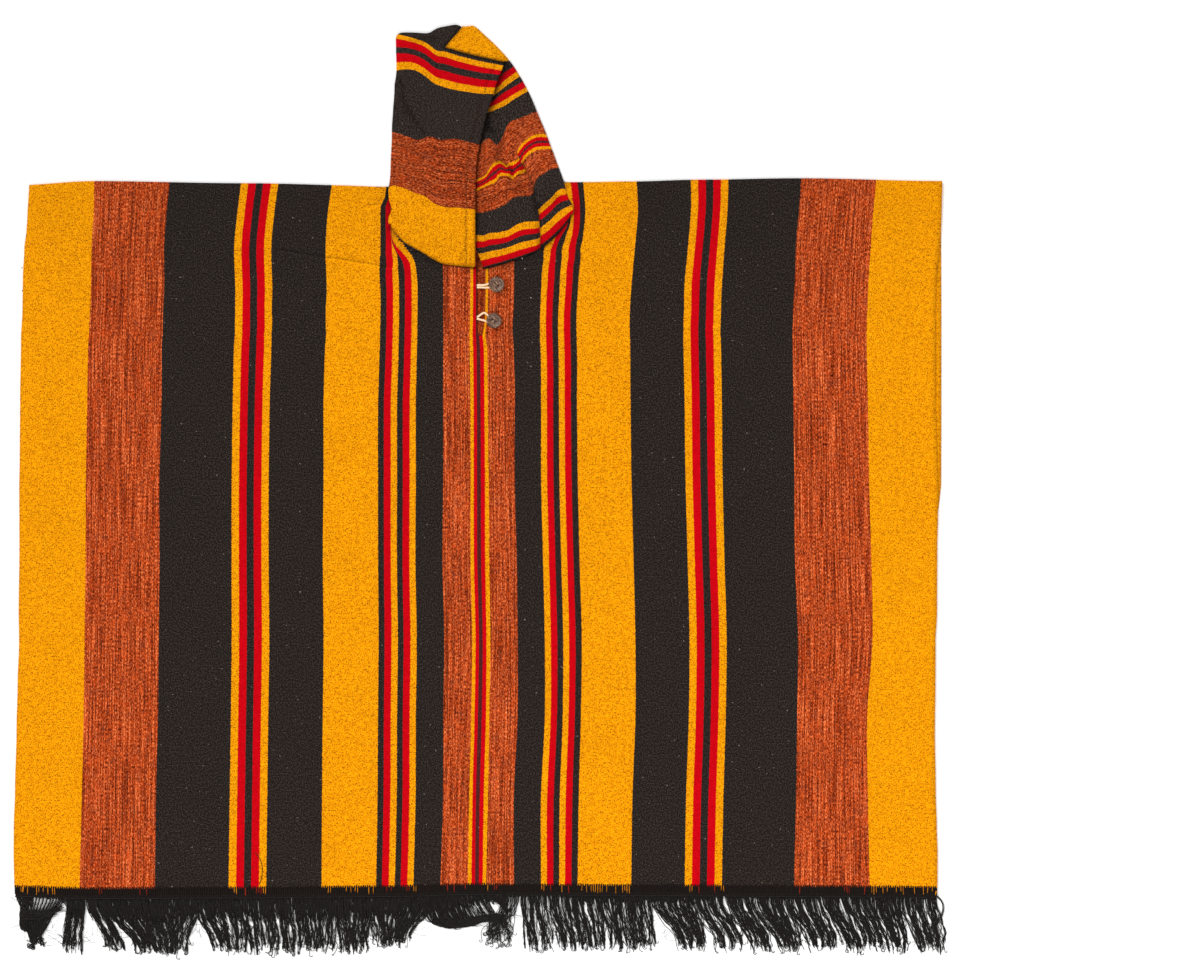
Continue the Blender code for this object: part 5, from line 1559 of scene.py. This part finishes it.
# A button from its shank's foot up: (radius, height), then the disc as (share of its radius, height
# above its underside), from the shank out over the rolled rim and in to the dished middle.
SHANK = [(0, 4.7), (1.6, 4.7), (1.75, 5.6), (1.6, 6.6), (1.75, 7.6), (1.7, BUTTON_UNDER)]
DISC = [(0.70, 0), (0.88, 0.35), (0.97, 1.0), (1, 1.7), (0.985, 2.3), (0.94, 2.9), (0.88, 3.15), (0.82, 3.1),
        (0.74, 2.75), (0.62, 2.55), (0.3, 2.5), (0, 2.5)]
# A loop: the y of its ends, and of its two sides where they climb over the slit's edge, and how far
# its eye hangs below the shank.
LOOPS = {"upper": (-139.8, -139.5, -141.5, 3.0), "lower": (-184.0, -178.6, -187.8, 0.0)}
CORD_HALF, SHANK_RADIUS = 1.4, 1.8
PLIES, PLY_RADIUS, PLY_OUT, TWIST = 3, 0.82, 0.74, 5.0
CORD_STEP = 0.55
# Tufts of lint on the cloth and knots in its selvedges, as (u, v, height above the cloth).
LINT = [(522, 258, 0.9), (522.4, 258.9, 0.9), (525, 269, 0), (531, 298, 0)]
KNOTS = [(22.6, 268, 0), (23, 291, 0), (934.5, 684, 0), (939, 201, 0), (940, 246, 0)]
TUFT_RINGS, TUFT_SIDES = (0.6, 1.0, 0.6), 6


def circle(x, y, z, radius, sides):
    """A level ring of points."""
    turns = math.tau * np.arange(sides) / sides
    return [(x + radius * math.cos(a), y + radius * math.sin(a), z) for a in turns]


def make_button(name, x, y, size, finish):
    """A dished disc with a rolled rim and two holes, on a wound shank."""
    radius = size / 2
    profile = SHANK + [(radius * share, BUTTON_UNDER + up) for share, up in DISC]
    sides = BUTTON_SIDES
    points = [(x, y, profile[0][1])]
    for r, z in profile[1:-1]:
        for a in math.tau * np.arange(sides) / sides:
            uneven = 1 + 0.012 * math.sin(3 * a + x) + 0.008 * math.sin(5 * a)
            points.append((x + r * uneven * math.cos(a), y + r * uneven * math.sin(a), z))
    points.append((x, y, profile[-1][1]))
    faces = []
    rings = len(profile) - 2
    for i in range(sides):
        j = (i + 1) % sides
        faces.append((0, 1 + j, 1 + i))
        for at in range(1, 1 + (rings - 1) * sides, sides):
            faces.append((at + i, at + j, at + sides + j, at + sides + i))
        last = 1 + (rings - 1) * sides
        faces.append((last + i, last + j, len(points) - 1))
    button = add_mesh("button_" + name + "_shell", points, faces, finish)
    button.data.set_sharp_from_angle(angle=math.radians(50))
    tilt = math.radians(-38)
    for side in (-1, 1):
        hx, hy = x + side * BUTTON_HOLES * math.cos(tilt), y + side * BUTTON_HOLES * math.sin(tilt)
        rings = [circle(hx, hy, BUTTON_UNDER + up, HOLE_RADIUS, HOLE_SIDES) for up in (0.3, 5)]
        tool = add_mesh("hole_tool", sum(rings, []), tube_faces(0, 2, HOLE_SIDES), finish)
        cut = button.modifiers.new("hole", "BOOLEAN")
        cut.operation = "DIFFERENCE"
        cut.solver = "EXACT"
        cut.object = tool
        apply_all(button)
        bpy.data.objects.remove(tool)
    return button


def loop_route(end_y, rise_y, fall_y, eye_drop, x, y):
    """A loop's line, as in its solid: out of the slit's left edge, round the shank and back."""
    half, start_x = CORD_HALF, -2.6
    inside, over = FRONT_LEVEL + 0.7, FRONT_LEVEL + 1.0 + 0.3 + half
    ring = SHANK_RADIUS + half + 0.8
    top, bottom = end_y + half + 0.2, end_y - half - 0.2
    return [
        (start_x, top, inside), (start_x + 1.6, top, inside + 0.3),
        (start_x + 5, (top + rise_y + half) / 2, inside + 1.6), (8.0, rise_y + half, over),
        (x - ring, y + ring * 0.9, over), (x, y + ring, over), (x + ring, y, over),
        (x + 0.5, y - ring - eye_drop, over), (x - ring, y - ring * 0.9 - eye_drop * 0.3, over),
        (8.0, fall_y - half * 0.2, over), (start_x + 5, (bottom + fall_y) / 2, inside + 1.6),
        (start_x + 1.6, bottom, inside + 0.3), (start_x, bottom, inside)]


def make_loop(name, spec, finish):
    """Three-ply twisted cord along a loop's line, round its button's shank."""
    line = np.array(loop_route(*spec, *BUTTONS[name][:2]))
    run = np.concatenate([[0], np.cumsum(np.linalg.norm(np.diff(line, axis=0), axis=1))])
    at = np.linspace(0, run[-1], int(run[-1] / CORD_STEP) + 2)
    line = np.stack([curve_at(at, run, column) for column in line.T], axis=1)
    side, lift = sides_of(line)
    routes = []
    for ply in range(PLIES):
        a = (math.tau * CORD_STEP * np.arange(len(line)) / TWIST + math.tau * ply / PLIES)[:, None]
        routes.append(line + PLY_OUT * (np.cos(a) * side + np.sin(a) * lift))
    return add_mesh("loop_" + name + "_cord", *tubes(routes, [PLY_RADIUS] * PLIES, 7, 1.0), finish)


def make_lint(finish, places, size, name):
    """Small tufts caught on the front's cloth."""
    points, faces = [], []
    for u, v, up in places:
        x, y = (float(value) for value in plan(u, v))
        faces += tube_faces(len(points), len(TUFT_RINGS), TUFT_SIDES)
        for i, wide in enumerate(TUFT_RINGS):
            for k in range(TUFT_SIDES):
                a = math.tau * k / TUFT_SIDES + i * 0.4
                points.append((x + size * wide * math.cos(a), y + size * wide * math.sin(a),
                               FRONT_TOP - 0.2 + up + size * 0.5 * i))
    return add_mesh(name, points, faces, finish)


def make_selvedge_stitches(finish):
    """The dotted line of stitches beside the front's right selvedge, and one loose thread at the hem."""
    rnd = random.Random(14)
    us, vs = columns_of(SELVEDGE_LINE)
    z = FRONT_TOP - 0.05
    routes, at = [], vs[0]
    while at < vs[-1]:
        at += rnd.uniform(1.7, 3.2)
        long = rnd.uniform(0.5, 1.0)
        u = float(np.interp(at, vs, us)) + rnd.uniform(-0.2, 0.2)
        (x0, y0), (x1, y1) = plan(u, at), plan(u, at + long)
        routes.append([(x0, y0, z - 0.2), ((x0 + x1) / 2, (y0 + y1) / 2, z + 0.1), (x1, y1, z - 0.2)])
    sizes = [0.3] * len(routes) + [0.5]
    routes.append([(x, y, z + 0.9) for x, y in dense(plan_line(LOOSE_THREAD), 3.0)])
    return add_mesh("selvedge_stitches", *tubes(routes, sizes, 4), finish)


def make_hem_stitches(finish):
    """The line of stitches that holds the left panel's turned front hem."""
    rnd = random.Random(9)
    edges = [plan_line(line) for line in (LEFT_FRONT, LEFT_NECK, LEFT_CROWN)]
    path = inset(smooth_by(dense(edges[0][::-1], 1.0), 40), HEM_STITCH)
    path[:, 0] += 0.7 * np.sin(np.arange(len(path)) / 6.0) + 0.4 * np.sin(np.arange(len(path)) / 2.3)
    at, routes = 4.0, []
    while at < len(path) - 30:
        size = rnd.uniform(2.6, 3.6)
        a, b = path[int(at)], path[int(at + size)]
        line = np.array([a, (a + b) / 2, b])
        z = panel_height(True, *line.T, edges) + CLOTH / 2
        routes.append(np.column_stack([line, z + [-0.2, 0.25, -0.2]]))
        at += size + rnd.uniform(1.2, 2.0)
    return add_mesh("hood_left_stitches", *tubes(routes, [0.5] * len(routes), 4), finish)


# ---------------------------------------------------------------- build

_, _, left_bands, right_bands = body_cells()
body_wool = cloth_material("striped_wool", [left_bands, right_bands], BODY_CELL)
HOOD_YARN = {"black_tone": 1.16, "flecks": 0.6, "lines": 0.16, "columns": 0.3}
left_wool = cloth_material("hood_wool_left", [LEFT_BANDS], HOOD_CELL, heather_tone=0.89, **HOOD_YARN)
right_wool = cloth_material("hood_wool_right", [RIGHT_BANDS], HOOD_CELL, heather_tone=0.95, **HOOD_YARN)
threads = {name: thread_material(name, *spec) for name, spec in THREADS.items()}
tape = threads["black_tape"]

body = finish_piece(make_body(body_wool), ["body"])
hood_left = finish_piece(hood_panel("left", left_wool), ["hood_left"])
hood_right = finish_piece(hood_panel("right", right_wool), ["hood_right"])
hood_stitches = finish_piece(make_hem_stitches(threads["hem_yarn"]), [])
on_cloth = [
    make_lint(threads["lint"], LINT, 0.75, "lint"),
    make_lint(tape, KNOTS, 0.95, "selvedge_knots"),
    make_selvedge_stitches(threads["hem_yarn"]),
]
trims = [finish_piece(piece, []) for piece in on_cloth]
for layer, seed in (("front", 11), ("back", 23)):
    fringe = make_fringe(layer, threads["black_thread"], seed)
    trims.append(finish_piece(fringe, ["fringe_" + layer]))
    trims.append(finish_piece(make_header(layer, tape), []))
trims.append(finish_piece(make_teeth(tape), []))
yellow_ends = make_thread_ends(threads["yellow_yarn"], YELLOW_ENDS, "yellow_ends", 3, CORNER_TUFTS)
red_ends = make_thread_ends(threads["red_yarn"], RED_ENDS, "red_ends", 4)
trims += [finish_piece(piece, []) for piece in (yellow_ends, red_ends)]
shell = shell_material()
for name, spec in BUTTONS.items():
    finish_piece(make_button(name, *spec, shell), ["button_" + name])
for name, spec in LOOPS.items():
    finish_piece(make_loop(name, spec, threads["cream_cord"]), ["loop_" + name])

# ---------------------------------------------------------------- floor, light and camera

WORLD_LIGHT, SUN_POWER, FILL_POWER = 0.56, 1.70, 42
# The view is straight down on the middle of the plan squares' frame, (u, v), and this many wide.
VIEW_U, VIEW_V, VIEW_WIDTH = 600.0, 483.0, 1200.0
LENS, SENSOR = 85.0, 36.0

bpy.ops.mesh.primitive_plane_add(size=60, location=(0, 0, -0.0004))
floor = bpy.context.object
floor.name = "floor"
floor.data.materials.append(floor_material())

world = bpy.data.worlds.new("studio")
bpy.context.scene.world = world
world.use_nodes = True
backdrop = world.node_tree.nodes["Background"]
backdrop.inputs["Color"].default_value = (1, 1, 1, 1)
backdrop.inputs["Strength"].default_value = WORLD_LIGHT


def lamp(name, kind, at, aim, power, **settings):
    """A light at one place, turned towards another."""
    data = bpy.data.lights.new(name, kind)
    data.energy = power
    for key, value in settings.items():
        setattr(data, key, value)
    made = bpy.data.objects.new(name, data)
    made.location = at
    made.rotation_euler = (Vector(aim) - Vector(at)).to_track_quat("-Z", "Y").to_euler()
    bpy.context.scene.collection.objects.link(made)


lamp("key", "SUN", (-1.7, 1.6, 2.9), (0, 0, 0), SUN_POWER, angle=math.radians(26))
lamp("fill", "AREA", (0.5, -1.8, 3.0), (0, -0.3, 0), FILL_POWER, shape="DISK", size=1.8)

view_x, view_y = (float(value) for value in plan(VIEW_U, VIEW_V))
lens = bpy.data.cameras.new("camera")
lens.lens, lens.sensor_width, lens.clip_end = LENS, SENSOR, 100
camera = bpy.data.objects.new("camera", lens)
height = VIEW_WIDTH * SQUARE * MM * LENS / SENSOR
camera.location = ((view_x + shift_x) * MM, (view_y + shift_y) * MM, height)
bpy.context.scene.collection.objects.link(camera)
bpy.context.scene.camera = camera
bpy.context.scene.view_settings.view_transform = "Standard"
